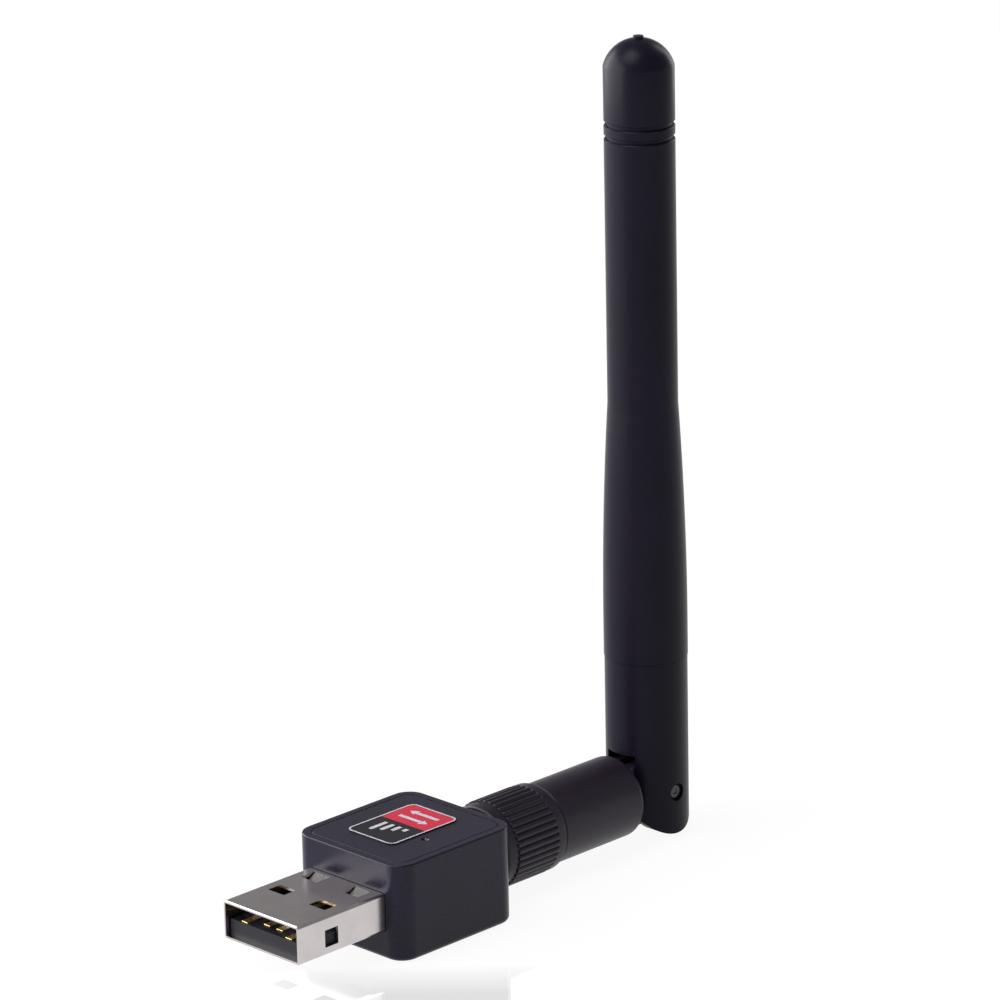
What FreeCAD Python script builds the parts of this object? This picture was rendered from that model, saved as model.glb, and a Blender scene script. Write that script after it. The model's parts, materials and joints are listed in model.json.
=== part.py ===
"""USB wireless adapter with a screw-on, swivelling and tilting stick antenna.

All lengths are millimetres. The origin is the centre of the USB plug where it leaves the case,
+X runs from the plug to the antenna, +Z is up. The antenna's own pieces are modelled about its
hinge pin and then placed on it.
"""
import FreeCAD, Part
import os
import re
from math import atan2, sqrt

import Sketcher

doc = FreeCAD.newDocument("UsbWirelessAdapter")
sheet = doc.addObject("Spreadsheet::Sheet", "Dims")

DIMENSIONS = {
    # case: a tray with a flush lid let into its rim
    "case_length": 18.0,
    "case_width": 17.0,
    "case_above": 5.8,
    "case_below": 5.6,
    "case_corner": 2.3,
    "case_wall": 1.4,
    "cavity_corner": 0.8,
    "floor_thickness": 1.2,
    "bottom_round": 0.7,
    "rim_width": 1.0,
    "rim_round": 0.2,
    "cover_thickness": 1.2,
    "cover_corner": 1.4,
    "cover_gap": 0.06,
    "cover_round": 0.12,
    # snap hooks under the lid
    "hook_width": 2.4,
    "hook_thickness": 0.8,
    "hook_drop": 1.6,
    "hook_front": 4.6,
    "hook_rear": 11.0,
    "barb_reach": 0.25,
    "barb_height": 0.6,
    "hook_gap": 0.05,
    # posts that carry the board and studs that hold it down
    "post_radius": 1.0,
    "stud_radius": 0.9,
    "post_front": 8.0,
    "post_rear": 13.6,
    "post_side": 5.9,
    # printed sticker on the lid
    "label_front": 4.2,
    "label_rear": 14.9,
    "label_left": 4.7,
    "label_right": 2.9,
    "label_corner": 1.0,
    "label_thickness": 0.1,
    # USB type A plug
    "plug_width": 12.0,
    "plug_height": 4.5,
    "plug_length": 13.0,
    "plug_inside": 4.5,
    "plug_sheet": 0.3,
    "plug_corner": 0.4,
    "plug_gap": 0.05,
    "plug_edge": 0.1,
    "latch_front": 7.65,
    "latch_rear": 5.8,
    "latch_inner": 2.0,
    "latch_outer": 4.5,
    "tab_front": 2.7,
    "tab_rear": 0.6,
    "tab_dip": 1.0,
    "tab_margin": 0.15,
    "side_front": 9.1,
    "side_rear": 7.15,
    "side_low": 1.3,
    "side_high": 0.7,
    "leg_length": 1.8,
    "leg_low": 1.9,
    "leg_high": 0.6,
    # plug insulator and contacts
    "tongue_setback": 0.6,
    "tongue_margin": 0.15,
    "block_front": 0.5,
    "block_rear": 4.4,
    "insulator_gap": 0.03,
    "insulator_corner": 0.2,
    "contact_width": 1.0,
    "contact_thickness": 0.25,
    "contact_sunk": 0.15,
    "contact_gap": 0.025,
    "contact_tip": 0.45,
    "power_front": 12.2,
    "data_front": 11.2,
    "power_side": 3.5,
    "data_side": 1.0,
    "contact_foot": 6.4,
    "foot_gap": 0.05,
    # circuit board
    "board_top": 0.4,
    "board_thickness": 1.0,
    "board_front": 4.6,
    "board_gap": 0.2,
    "notch_gap": 0.05,
    # parts on the board
    "radio_size": 5.0,
    "radio_height": 0.85,
    "radio_place": 9.0,
    "crystal_length": 2.5,
    "crystal_width": 2.0,
    "crystal_height": 0.65,
    "crystal_place": 11.4,
    "crystal_side": 4.3,
    "regulator_length": 1.6,
    "regulator_width": 2.9,
    "regulator_height": 1.1,
    "regulator_place": 7.9,
    "regulator_side": 0.0,
    "led_length": 0.8,
    "led_width": 1.6,
    "led_height": 0.6,
    "led_place": 8.1,
    "led_side": 4.15,
    "chip_length": 1.0,
    "chip_width": 0.5,
    "chip_height": 0.5,
    "chip_pitch": 1.2,
    "resistor_height": 0.35,
    "pipe_radius": 0.45,
    "pipe_head": 0.7,
    "pipe_head_height": 0.6,
    "pipe_gap": 0.03,
    # antenna jack
    "thread_radius": 3.175,
    "thread_pitch": 0.70556,
    "thread_depth": 0.38,
    "thread_share": 0.45,
    "thread_chamfer": 0.35,
    "jack_reach": 8.6,
    "jack_gap": 0.08,
    "flange_size": 6.4,
    "flange_thickness": 1.6,
    "leg_size": 1.0,
    "leg_reach": 3.0,
    "jack_step": 0.25,
    "socket_wall": 0.875,
    "socket_depth": 1.9,
    "pin_radius": 0.4,
    "pin_tail": 2.0,
    "pin_reach": 1.5,
    "pin_point": 0.3,
    # antenna plug: nut, sleeve and body
    "sleeve_front": 2.3,
    "sleeve_length": 9.3,
    "sleeve_collar": 1.6,
    "collar_wall": 0.58,
    "knurl_rise": 0.25,
    "knurl_length": 6.4,
    "knurl_count": 40,
    "knurl_depth": 0.25,
    "knurl_width": 0.5,
    "sleeve_bevel": 0.35,
    "rear_lip": 0.7,
    "nut_setback": 0.15,
    "nut_wall": 0.575,
    "nut_fit": 0.03,
    "thread_clearance": 0.05,
    "gasket_thickness": 0.3,
    "gasket_margin": 0.1,
    "shoulder_gap": 0.075,
    "shoulder_thickness": 0.7,
    "nose_gap": 0.05,
    "nose_wall": 0.5,
    "shank_step": 0.4,
    "running_gap": 0.05,
    "snap_offset": 0.5,
    "snap_thickness": 0.4,
    "snap_depth": 0.35,
    "snap_proud": 0.35,
    "snap_opening": 1.0,
    "face_gap": 0.02,
    "centre_socket": 0.75,
    "centre_socket_gap": 0.02,
    "centre_socket_depth": 2.0,
    "tail_step": 0.5,
    "tail_length": 6.3,
    "tail_lip": 0.4,
    "tail_lip_length": 0.9,
    # swivel barrel
    "barrel_gap": 0.25,
    "barrel_radius": 4.83,
    "barrel_length": 13.2,
    "barrel_round": 0.9,
    "barrel_bevel": 0.2,
    "lip_play": 0.1,
    "cable_channel": 0.8,
    "tongue_width": 4.0,
    "tongue_radius": 3.7,
    "tongue_root": 0.6,
    "cable_slot": 1.5,
    # hinge
    "hinge_reach": 5.25,
    "hinge_pin": 0.9,
    "pin_running": 0.05,
    "pin_press": 0.015,
    "pin_inner": 0.8,
    "pin_outer": 4.4,
    "pin_recess": 1.05,
    # antenna
    "knuckle_radius": 4.8,
    "knuckle_height": 16.0,
    "knuckle_round": 5.0,
    "ear_slot": 4.3,
    "slot_top": 4.9,
    "slot_back": 1.2,
    "tongue_play": 0.2,
    "spigot_radius": 4.0,
    "spigot_height": 3.5,
    "spigot_gap": 0.05,
    "cable_bore": 0.7,
    "tube_foot_radius": 4.86,
    "tube_radius": 4.03,
    "taper_start": 20.0,
    "taper_end": 46.4,
    "groove_low": 77.4,
    "groove_high": 78.95,
    "groove_width": 0.5,
    "groove_depth": 0.35,
    "dome_start": 85.5,
    "dome_height": 3.1,
    "tube_bore": 3.2,
    "tip_wall": 1.6,
    "nub_radius": 0.6,
    "nub_height": 0.25,
    # cable and radiator inside the antenna
    "cable_radius": 0.565,
    "bend_radius": 4.8,
    "choke_radius": 2.5,
    "choke_wall": 0.3,
    "choke_start": 24.0,
    "choke_length": 23.0,
    "choke_cap": 0.5,
    "choke_gap": 0.01,
    "feed_stub": 0.5,
    "wire_radius": 0.35,
    "wire_length": 26.0,
}
LEAST_CUT = 1e-6  # cubic millimetres that a cut has to take away
LEVEL_SLACK = 1e-4  # how far an edge may be off its level
for row, (alias, size) in enumerate(DIMENSIONS.items(), start=1):
    sheet.set(f"A{row}", alias)
    sheet.set(f"B{row}", str(size))
    sheet.setAlias(f"B{row}", alias)
doc.recompute()

# Places that several pieces share, each a rule made of the dimensions above.
HALF_WIDTH = "(case_width / 2)"
INNER_WIDTH = "(case_width / 2 - case_wall)"
INNER_REAR = "(case_length - case_wall)"
FLOOR_TOP = "(floor_thickness - case_below)"
LID_UNDER = "(case_above - cover_thickness)"
BOARD_UNDER = "(-board_top - board_thickness)"
BOARD_WIDTH = "(case_width / 2 - case_wall - board_gap)"
BOARD_REAR = "(case_length - case_wall - flange_thickness)"
PLUG_BORE_WIDTH = "(plug_width / 2 - plug_sheet)"
PLUG_BORE_HEIGHT = "(plug_height / 2 - plug_sheet)"
SOCKET_RADIUS = "(thread_radius - socket_wall)"
JACK_BORE = "(thread_radius - socket_wall - jack_step)"
NOSE_RADIUS = "(thread_radius - socket_wall - nose_gap)"
CORE_RADIUS = "(thread_radius - socket_wall - nose_gap - nose_wall)"
SHOULDER_RADIUS = "(thread_radius - shoulder_gap)"
SHANK_RADIUS = "(thread_radius - shoulder_gap - shank_step)"
SNAP_INNER = f"({SHANK_RADIUS} - snap_depth)"
SNAP_OUTER = f"({SHANK_RADIUS} + snap_proud)"
TAIL_RADIUS = f"({SHANK_RADIUS} - tail_step)"
NUT_FLATS = "(2 * (thread_radius + thread_clearance + nut_wall))"
NUT_POCKET = f"({NUT_FLATS} + 2 * nut_fit)"
COLLAR_RADIUS = f"({NUT_POCKET} / sqrt(3) + collar_wall)"
KNURL_RADIUS = f"({COLLAR_RADIUS} + knurl_rise)"
JACK_TIP = "(case_length + jack_reach)"
JACK_SHOULDER = "(case_length + jack_reach - socket_depth)"
SLEEVE_START = "(case_length + sleeve_front)"
SLEEVE_END = "(case_length + sleeve_front + sleeve_length)"
NUT_END = "(case_length + sleeve_front + sleeve_length - rear_lip)"
PLUG_SEAT = "(case_length + jack_reach + gasket_thickness)"
SHOULDER_END = "(case_length + jack_reach + gasket_thickness + shoulder_thickness)"
SNAP_START = f"({SHOULDER_END} + snap_offset)"
SNAP_END = f"({SHOULDER_END} + snap_offset + snap_thickness)"
CORE_END = f"({SHOULDER_END} + running_gap + snap_offset)"
SHANK_END = f"({SLEEVE_END} + barrel_gap / 2)"
BARREL_START = f"({SLEEVE_END} + barrel_gap)"
BARREL_END = f"({BARREL_START} + barrel_length)"
TAIL_END = f"({BARREL_START} + tail_length)"
PIN_PLACE = f"({BARREL_END} + hinge_reach)"
BEND_START = f"({PIN_PLACE} - bend_radius)"
CHOKE_END = "(choke_start + choke_length)"
FEED_END = f"({CHOKE_END} + feed_stub)"


def value(rule):
    """The number that a rule gives now."""
    return float(sheet.evalExpression(rule))


def bind(thing, property_name, rule):
    """Ties a property to a rule, with each dimension read from the sheet."""
    def from_sheet(word):
        return f"Dims.{word[0]}" if word[0] in DIMENSIONS else word[0]

    linked = re.sub(r"[a-z][a-z_]*", from_sheet, rule)
    thing.setExpression(property_name, linked)


# ---------------------------------------------------------------- drawing
def rectangle(left, right, low, high):
    return [(left, low), (right, low), (right, high), (left, high)]


def rounded(left, right, low, high, radius):
    """A rectangle whose corners are arcs that turn left."""
    return [
        (f"{left} + {radius}", low),
        (f"{right} - {radius}", low, 1, radius),
        (right, f"{low} + {radius}"),
        (right, f"{high} - {radius}", 1, radius),
        (f"{right} - {radius}", high),
        (f"{left} + {radius}", high, 1, radius),
        (left, f"{high} - {radius}"),
        (left, f"{low} + {radius}", 1, radius),
    ]


def circle(across, up, radius):
    return ("circle", across, up, radius)


def hexagon(flats):
    """Corners of a hexagon about the axis, with flats above and below."""
    side, tip, flat = f"{flats} / (2 * sqrt(3))", f"{flats} / sqrt(3)", f"{flats} / 2"
    return [
        (f"-{side}", f"-{flat}"),
        (side, f"-{flat}"),
        (tip, "0"),
        (side, flat),
        (f"-{side}", flat),
        (f"-{tip}", "0"),
    ]


def arc_between(start, stop, turn, radius):
    """The arc from start to stop that turns left (1) or right (-1)."""
    chord = stop - start
    rise = sqrt(max(radius**2 - (chord.Length / 2) ** 2, 0.0))
    normal = FreeCAD.Vector(-chord.y, chord.x, 0).normalize()
    centre = (start + stop) * 0.5 + normal * (turn * rise)
    first, last = (start, stop) if turn > 0 else (stop, start)
    angles = [atan2(spot.y - centre.y, spot.x - centre.x) for spot in (first, last)]
    return Part.ArcOfCircle(Part.Circle(centre, FreeCAD.Vector(0, 0, 1), radius), *angles)


def add_circle(drawing, shape):
    across, up, radius = shape[1:]
    centre = FreeCAD.Vector(value(across), value(up), 0)
    edge = drawing.addGeometry(Part.Circle(centre, FreeCAD.Vector(0, 0, 1), value(radius)))
    tied = (("DistanceX", (edge, 3), across), ("DistanceY", (edge, 3), up), ("Radius", (edge,), radius))
    for kind, place, rule in tied:
        number = drawing.addConstraint(Sketcher.Constraint(kind, *place, value(rule)))
        bind(drawing, f"Constraints[{number}]", rule)


def add_outline(drawing, corners):
    """Draws a closed outline through its corners, each of which follows its own two rules.

    A corner with four items (across, up, turn, radius) is left along an arc.
    """
    spots = [FreeCAD.Vector(value(corner[0]), value(corner[1]), 0) for corner in corners]
    edges = []
    for number, corner in enumerate(corners):
        start, stop = spots[number], spots[(number + 1) % len(spots)]
        if len(corner) == 2:
            edges.append((drawing.addGeometry(Part.LineSegment(start, stop)), 1, 2))
        else:
            arc = arc_between(start, stop, corner[2], value(corner[3]))
            ends = (1, 2) if corner[2] > 0 else (2, 1)
            edges.append((drawing.addGeometry(arc), *ends))
    rules = []
    for number, corner in enumerate(corners):
        edge, head, tail = edges[number]
        follower, follower_head, _ = edges[(number + 1) % len(edges)]
        drawing.addConstraint(Sketcher.Constraint("Coincident", edge, tail, follower, follower_head))
        rules.append((("DistanceX", edge, head), corner[0]))
        rules.append((("DistanceY", edge, head), corner[1]))
        if len(corner) == 4:
            rules.append((("Radius", edge), corner[3]))
    for parts, rule in rules:
        number = drawing.addConstraint(Sketcher.Constraint(*parts, value(rule)))
        bind(drawing, f"Constraints[{number}]", rule)


def sketch(owner, name, plane, shapes, offset=None):
    """A sketch on one of the body's own origin planes, moved along that plane's normal."""
    drawing = owner.newObject("Sketcher::SketchObject", name)
    ground = next(item for item in owner.Origin.OriginFeatures if item.Role == f"{plane}_Plane")
    drawing.AttachmentSupport = [(ground, "")]
    drawing.MapMode = "FlatFace"
    if offset is not None:
        bind(drawing, "AttachmentOffset.Base.z", offset)
    for shape in shapes:
        if shape[0] == "circle":
            add_circle(drawing, shape)
        else:
            add_outline(drawing, shape)
    return drawing


# ---------------------------------------------------------------- features
def new_body(label):
    body = doc.addObject("PartDesign::Body", label)
    body.Label = label
    return body


def extrude(owner, name, plane, low, high, shapes, cut=False):
    """Adds or cuts the shapes between two levels along the plane's axis.

    The XZ plane faces -Y, so there the sketch stands at the higher level.
    """
    level = f"-({high})" if plane == "XZ" else low
    drawing = sketch(owner, f"{name}_sketch", plane, shapes, level)
    before = owner.Tip.Shape.Volume if owner.Tip and cut else None
    made = owner.newObject("PartDesign::Pocket" if cut else "PartDesign::Pad", name)
    made.Profile = drawing
    made.Reversed = cut
    bind(made, "Length", f"({high}) - ({low})")
    doc.recompute()
    if cut and made.Shape.Volume >= before - LEAST_CUT:
        raise RuntimeError(f"{name} cuts nothing from {owner.Label}")
    return made


def turned(owner, name, axis, profile, cut=False):
    """Turns a profile of (along, radius) corners about the body's X, Y or Z axis."""
    if axis == "X":
        plane, line, corners = "XZ", "H_Axis", profile
    else:
        plane, line = ("XZ" if axis == "Z" else "XY"), "V_Axis"
        corners = [(radius, along, *((-arc[0], arc[1]) if arc else ())) for along, radius, *arc in profile]
    drawing = sketch(owner, f"{name}_sketch", plane, [corners])
    before = owner.Tip.Shape.Volume if owner.Tip and cut else None
    made = owner.newObject("PartDesign::Groove" if cut else "PartDesign::Revolution", name)
    made.Profile = drawing
    made.ReferenceAxis = (drawing, [line])
    made.Angle = 360
    doc.recompute()
    if cut and made.Shape.Volume >= before - LEAST_CUT:
        raise RuntimeError(f"{name} cuts nothing from {owner.Label}")
    return made


def block(owner, name, across, along, up, cut=False):
    """Adds or cuts a box, given its (low, high) rules along X, Y and Z."""
    return extrude(owner, name, "XY", up[0], up[1], [rectangle(*across, *along)], cut)


def soften(owner, name, kind, size, chosen):
    """Fillets or chamfers the edges of the body's last feature that a test picks."""
    base = owner.Tip
    names = [f"Edge{number}" for number, edge in enumerate(base.Shape.Edges, start=1) if chosen(edge)]
    if not names:
        raise RuntimeError(f"{name} finds no edge on {owner.Label}")
    made = owner.newObject(f"PartDesign::{kind}", name)
    made.Base = (base, names)
    bind(made, "Radius" if kind == "Fillet" else "Size", size)
    doc.recompute()


def level_edge(edge, axis, level):
    """True for an edge that lies wholly at one level along an axis ("x", "y" or "z")."""
    box = edge.BoundBox
    low, high = getattr(box, f"{axis.upper()}Min"), getattr(box, f"{axis.upper()}Max")
    return max(abs(low - level), abs(high - level)) < LEVEL_SLACK


def both_sides(rule_low, rule_high):
    """The same span on the +Y side and on the -Y side, as (sign, low, high)."""
    return ((1, rule_low, rule_high), (-1, f"-({rule_high})", f"-({rule_low})"))


# ---------------------------------------------------------------- case
POST_PLACES = [(x, y) for x in ("post_front", "post_rear") for y in ("post_side", "-post_side")]


def make_lower_case():
    case = new_body("lower_case")
    outside = rounded("0", "case_length", f"-{HALF_WIDTH}", HALF_WIDTH, "case_corner")
    extrude(case, "outside", "XY", "-case_below", "case_above", [outside])
    bottom = -value("case_below")
    soften(case, "bottom_edge", "Fillet", "bottom_round", lambda edge: level_edge(edge, "z", bottom))
    soften(case, "rim_edge", "Fillet", "rim_round", lambda edge: level_edge(edge, "z", value("case_above")))
    cavity = rounded("case_wall", INNER_REAR, f"-{INNER_WIDTH}", INNER_WIDTH, "cavity_corner")
    extrude(case, "cavity", "XY", FLOOR_TOP, "case_above + rim_round", [cavity], cut=True)
    seat_width = f"({HALF_WIDTH} - rim_width)"
    seat = rounded("rim_width", "case_length - rim_width", f"-{seat_width}", seat_width, "cover_corner")
    extrude(case, "cover_seat", "XY", LID_UNDER, "case_above + rim_round", [seat], cut=True)
    half_opening, half_height = "(plug_width / 2 + plug_gap)", "(plug_height / 2 + plug_gap)"
    sides = (f"-{half_opening}", half_opening, f"-{half_height}", half_height)
    opening = rounded(*sides, "(plug_corner + plug_gap)")
    extrude(case, "plug_opening", "YZ", "-rim_round", "case_wall + rim_round", [opening], cut=True)
    hole = circle("0", "0", "thread_radius + jack_gap")
    behind = "case_length + rim_round"
    extrude(case, "jack_opening", "YZ", f"{INNER_REAR} - rim_round", behind, [hole], cut=True)
    posts = [circle(x, y, "post_radius") for x, y in POST_PLACES]
    extrude(case, "board_posts", "XY", FLOOR_TOP, BOARD_UNDER, posts)
    cradle = ("-latch_outer", "latch_outer")
    block(case, "plug_cradle", ("case_wall", "plug_inside"), cradle, (FLOOR_TOP, "-plug_height / 2"))
    for place, start in (("front", "hook_front"), ("rear", "hook_rear")):
        across = (f"{start} - hook_gap", f"{start} + hook_width + hook_gap")
        outer = f"{INNER_WIDTH} + barb_reach + hook_gap"
        for sign, low, high in both_sides(f"{INNER_WIDTH} - hook_gap", outer):
            bottom = f"{LID_UNDER} - hook_drop"
            up = (f"{bottom} - hook_gap", f"{bottom} + barb_height + hook_gap")
            side = "left" if sign > 0 else "right"
            block(case, f"hook_notch_{place}_{side}", across, (low, high), up, cut=True)
    return case


def make_top_cover():
    cover = new_body("top_cover")
    edge = "(rim_width + cover_gap)"
    half = f"({HALF_WIDTH} - {edge})"
    plate = rounded(edge, f"case_length - {edge}", f"-{half}", half, "(cover_corner - cover_gap)")
    extrude(cover, "plate", "XY", LID_UNDER, "case_above", [plate])
    top = value("case_above")
    soften(cover, "plate_edge", "Fillet", "cover_round", lambda item: level_edge(item, "z", top))
    studs = [circle(x, y, "stud_radius") for x, y in POST_PLACES]
    extrude(cover, "board_studs", "XY", "-board_top", LID_UNDER, studs)
    outer = f"({INNER_WIDTH} - hook_gap)"
    bottom = f"({LID_UNDER} - hook_drop)"
    for place, start in (("front", "hook_front"), ("rear", "hook_rear")):
        for side, sign in (("left", ""), ("right", "-")):
            hook = [
                (f"{sign}({outer} - hook_thickness)", LID_UNDER),
                (f"{sign}({outer} - hook_thickness)", bottom),
                (f"{sign}{outer}", bottom),
                (f"{sign}({outer} + barb_reach)", f"{bottom} + barb_height"),
                (f"{sign}{outer}", f"{bottom} + barb_height"),
                (f"{sign}{outer}", LID_UNDER),
            ]
            extrude(cover, f"hook_{place}_{side}", "YZ", start, f"{start} + hook_width", [hook])
    pipe = circle("led_place", "-led_side", "pipe_radius + pipe_gap")
    extrude(cover, "light_hole", "XY", f"{LID_UNDER} - pipe_gap", "case_above + pipe_gap", [pipe], cut=True)
    return cover


def make_top_label():
    label = new_body("top_label")
    sticker = rounded("label_front", "label_rear", "-label_right", "label_left", "label_corner")
    extrude(label, "sticker", "XY", "case_above", "case_above + label_thickness", [sticker])
    return label


def make_light_pipe():
    pipe = new_body("led_light_pipe")
    led_top = "(led_height - board_top)"
    head = circle("led_place", "-led_side", "pipe_head")
    rod = circle("led_place", "-led_side", "pipe_radius")
    extrude(pipe, "rod", "XY", led_top, "case_above", [rod])
    extrude(pipe, "head", "XY", f"{LID_UNDER} - pipe_head_height", LID_UNDER, [head])
    return pipe


# ---------------------------------------------------------------- USB plug
def make_usb_shell():
    shell = new_body("usb_shell")
    half, tall = "(plug_width / 2)", "(plug_height / 2)"
    outside = rounded(f"-{half}", half, f"-{tall}", tall, "plug_corner")
    inside = rounded(f"-{PLUG_BORE_WIDTH}", PLUG_BORE_WIDTH, f"-{PLUG_BORE_HEIGHT}", PLUG_BORE_HEIGHT,
                     "(plug_corner - plug_sheet)")
    extrude(shell, "sheet", "YZ", "-plug_length", "plug_inside", [outside])
    mouth = -value("plug_length")
    soften(shell, "mouth_edge", "Chamfer", "plug_edge", lambda edge: level_edge(edge, "x", mouth))
    extrude(shell, "bore", "YZ", "-plug_length - plug_edge", "plug_inside + plug_edge", [inside], cut=True)
    through = ("-plug_height", "plug_height")
    for sign, low, high in both_sides("latch_inner", "latch_outer"):
        side = "left" if sign > 0 else "right"
        block(shell, f"latch_window_{side}", ("-latch_front", "-latch_rear"), (low, high), through, cut=True)
        block(shell, f"tab_window_{side}", ("-tab_front", "-tab_rear"), (low, high), through, cut=True)
        tab = [
            ("-tab_rear + plug_sheet", PLUG_BORE_HEIGHT),
            ("-tab_rear + plug_sheet", tall),
            ("-tab_rear", tall),
            ("-tab_front + tab_margin", f"{tall} - tab_dip"),
            ("-tab_front + tab_margin", f"{PLUG_BORE_HEIGHT} - tab_dip"),
            ("-tab_rear", PLUG_BORE_HEIGHT),
        ]
        extrude(shell, f"spring_tab_{side}", "XZ", f"{low} + tab_margin", f"{high} - tab_margin", [tab])
    everywhere = ("-plug_width", "plug_width")
    window = ("-side_low", "side_high")
    block(shell, "side_windows", ("-side_front", "-side_rear"), everywhere, window, cut=True)
    for sign, low, high in both_sides(PLUG_BORE_WIDTH, half):
        side = "left" if sign > 0 else "right"
        along = ("plug_inside - plug_sheet", "plug_inside + leg_length")
        block(shell, f"board_leg_{side}", along, (low, high), ("-leg_low", "leg_high"))
    return shell


CONTACTS = {
    "usb_contact_vbus": ("power_front", "power_side"),
    "usb_contact_data_minus": ("data_front", "data_side"),
    "usb_contact_data_plus": ("data_front", "-data_side"),
    "usb_contact_ground": ("power_front", "-power_side"),
}


def make_usb_insulator():
    insulator = new_body("usb_insulator")
    half, tall = f"({PLUG_BORE_WIDTH} - insulator_gap)", f"({PLUG_BORE_HEIGHT} - insulator_gap)"
    section = rounded(f"-{half}", half, f"-{tall}", tall, "insulator_corner")
    extrude(insulator, "rear_block", "YZ", "-block_front", "block_rear", [section])
    tongue_half = f"({PLUG_BORE_WIDTH} - tongue_margin)"
    tongue = ("-plug_length + tongue_setback", "-block_front")
    block(insulator, "tongue", tongue, (f"-{tongue_half}", tongue_half), (f"-{PLUG_BORE_HEIGHT}", "0"))
    half_slot = "(contact_width / 2 + contact_gap)"
    for name, (front, side) in CONTACTS.items():
        along = (f"{side} - {half_slot}", f"{side} + {half_slot}")
        up = ("-contact_sunk", "contact_thickness - contact_sunk + contact_gap")
        whole = (f"-{front} - contact_gap", "block_rear + contact_gap")
        block(insulator, f"{name}_slot", whole, along, up, cut=True)
        tip = (f"-{front} - contact_gap", f"-{front} + contact_thickness + contact_gap")
        block(insulator, f"{name}_tip_slot", tip, along, ("-contact_tip - contact_gap", "0"), cut=True)
    return insulator


def make_usb_contact(name, front, side):
    """A flat blade whose front tip turns down and whose foot steps down onto the board."""
    contact = new_body(name)
    low, high = "-contact_sunk", "(contact_thickness - contact_sunk)"
    step = "(block_rear + foot_gap)"
    blade = [
        (f"-{front}", "-contact_tip"),
        (f"-{front} + contact_thickness", "-contact_tip"),
        (f"-{front} + contact_thickness", low),
        (step, low),
        (step, "-board_top"),
        ("contact_foot", "-board_top"),
        ("contact_foot", "contact_thickness - board_top"),
        (f"{step} + contact_thickness", "contact_thickness - board_top"),
        (f"{step} + contact_thickness", high),
        (f"-{front}", high),
    ]
    extrude(contact, "blade", "XZ", f"{side} - contact_width / 2", f"{side} + contact_width / 2", [blade])
    return contact


# ---------------------------------------------------------------- board
def make_circuit_board():
    board = new_body("circuit_board")
    across = ("board_front", BOARD_REAR)
    block(board, "laminate", across, (f"-{BOARD_WIDTH}", BOARD_WIDTH), (BOARD_UNDER, "-board_top"))
    notch = ("board_front - notch_gap", "plug_inside + leg_length + notch_gap")
    for sign, low, high in both_sides(f"{PLUG_BORE_WIDTH} - notch_gap", "plug_width / 2 + notch_gap"):
        side = "left" if sign > 0 else "right"
        up = (f"{BOARD_UNDER} - notch_gap", "notch_gap - board_top")
        block(board, f"leg_notch_{side}", notch, (low, high), up, cut=True)
    return board


def chip(name, place, side, length, width, height, under=False):
    """A box that sits centred on the board's top, or hangs from its underside."""
    box = doc.addObject("Part::Box", name)
    box.Label = name
    bind(box, "Length", length)
    bind(box, "Width", width)
    bind(box, "Height", height)
    bind(box, "Placement.Base.x", f"{place} - {length} / 2")
    bind(box, "Placement.Base.y", f"{side} - {width} / 2")
    bind(box, "Placement.Base.z", f"{BOARD_UNDER} - {height}" if under else "-board_top")
    return box


def chip_row(name, count, place, side, height, under):
    """A row of equal small chips along the board, kept as one sub-part."""
    row = [
        chip(f"{name}_{number + 1}", f"({place} + {number} * chip_pitch)", side,
             "chip_width", "chip_length", height, under)
        for number in range(count)
    ]
    group = doc.addObject("Part::Compound", name)
    group.Label = name
    group.Links = row
    return group


# ---------------------------------------------------------------- antenna jack on the case
def make_jack_body():
    jack = new_body("jack_body")
    flange = ("-flange_size / 2", "flange_size / 2")
    block(jack, "flange", (BOARD_REAR, INNER_REAR), flange, flange)
    barrel = [
        (BOARD_REAR, "0"),
        (BOARD_REAR, "thread_radius"),
        (f"{JACK_TIP} - thread_chamfer", "thread_radius"),
        (JACK_TIP, "thread_radius - thread_chamfer"),
        (JACK_TIP, "0"),
    ]
    turned(jack, "barrel", "X", barrel)
    for side, sign in (("left", 1), ("right", -1)):
        outer = "flange_size / 2"
        low, high = (f"{outer} - leg_size", outer) if sign > 0 else (f"-{outer}", f"-{outer} + leg_size")
        across = (f"{BOARD_REAR} - leg_reach", BOARD_REAR)
        block(jack, f"upper_leg_{side}", across, (low, high), ("-board_top", "leg_size - board_top"))
        block(jack, f"lower_leg_{side}", across, (low, high), (f"{BOARD_UNDER} - leg_size", BOARD_UNDER))
    bore = [
        (f"{BOARD_REAR} - plug_edge", "0"),
        (f"{BOARD_REAR} - plug_edge", JACK_BORE),
        (JACK_SHOULDER, JACK_BORE),
        (JACK_SHOULDER, SOCKET_RADIUS),
        (f"{JACK_TIP} + plug_edge", SOCKET_RADIUS),
        (f"{JACK_TIP} + plug_edge", "0"),
    ]
    turned(jack, "bore", "X", bore, cut=True)
    start, root = "(case_length + thread_pitch)", "(thread_radius - thread_depth)"
    tooth = [
        (start, root),
        (f"{start} + thread_pitch * thread_share", "thread_radius + plug_edge"),
        (f"{start} - thread_pitch * thread_share", "thread_radius + plug_edge"),
    ]
    drawing = sketch(jack, "thread_sketch", "XZ", [tooth])
    plain = jack.Tip.Shape.Volume
    thread = jack.newObject("PartDesign::SubtractiveHelix", "thread")
    thread.Profile = drawing
    thread.ReferenceAxis = (drawing, ["H_Axis"])
    thread.Mode = "pitch-height-angle"
    thread.Angle = 0
    bind(thread, "Pitch", "thread_pitch")
    bind(thread, "Height", "jack_reach - thread_pitch / 2")
    doc.recompute()
    if not thread.Shape.isValid() or thread.Shape.Volume >= plain:
        raise RuntimeError("the jack's thread is not cut")
    return jack


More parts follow.
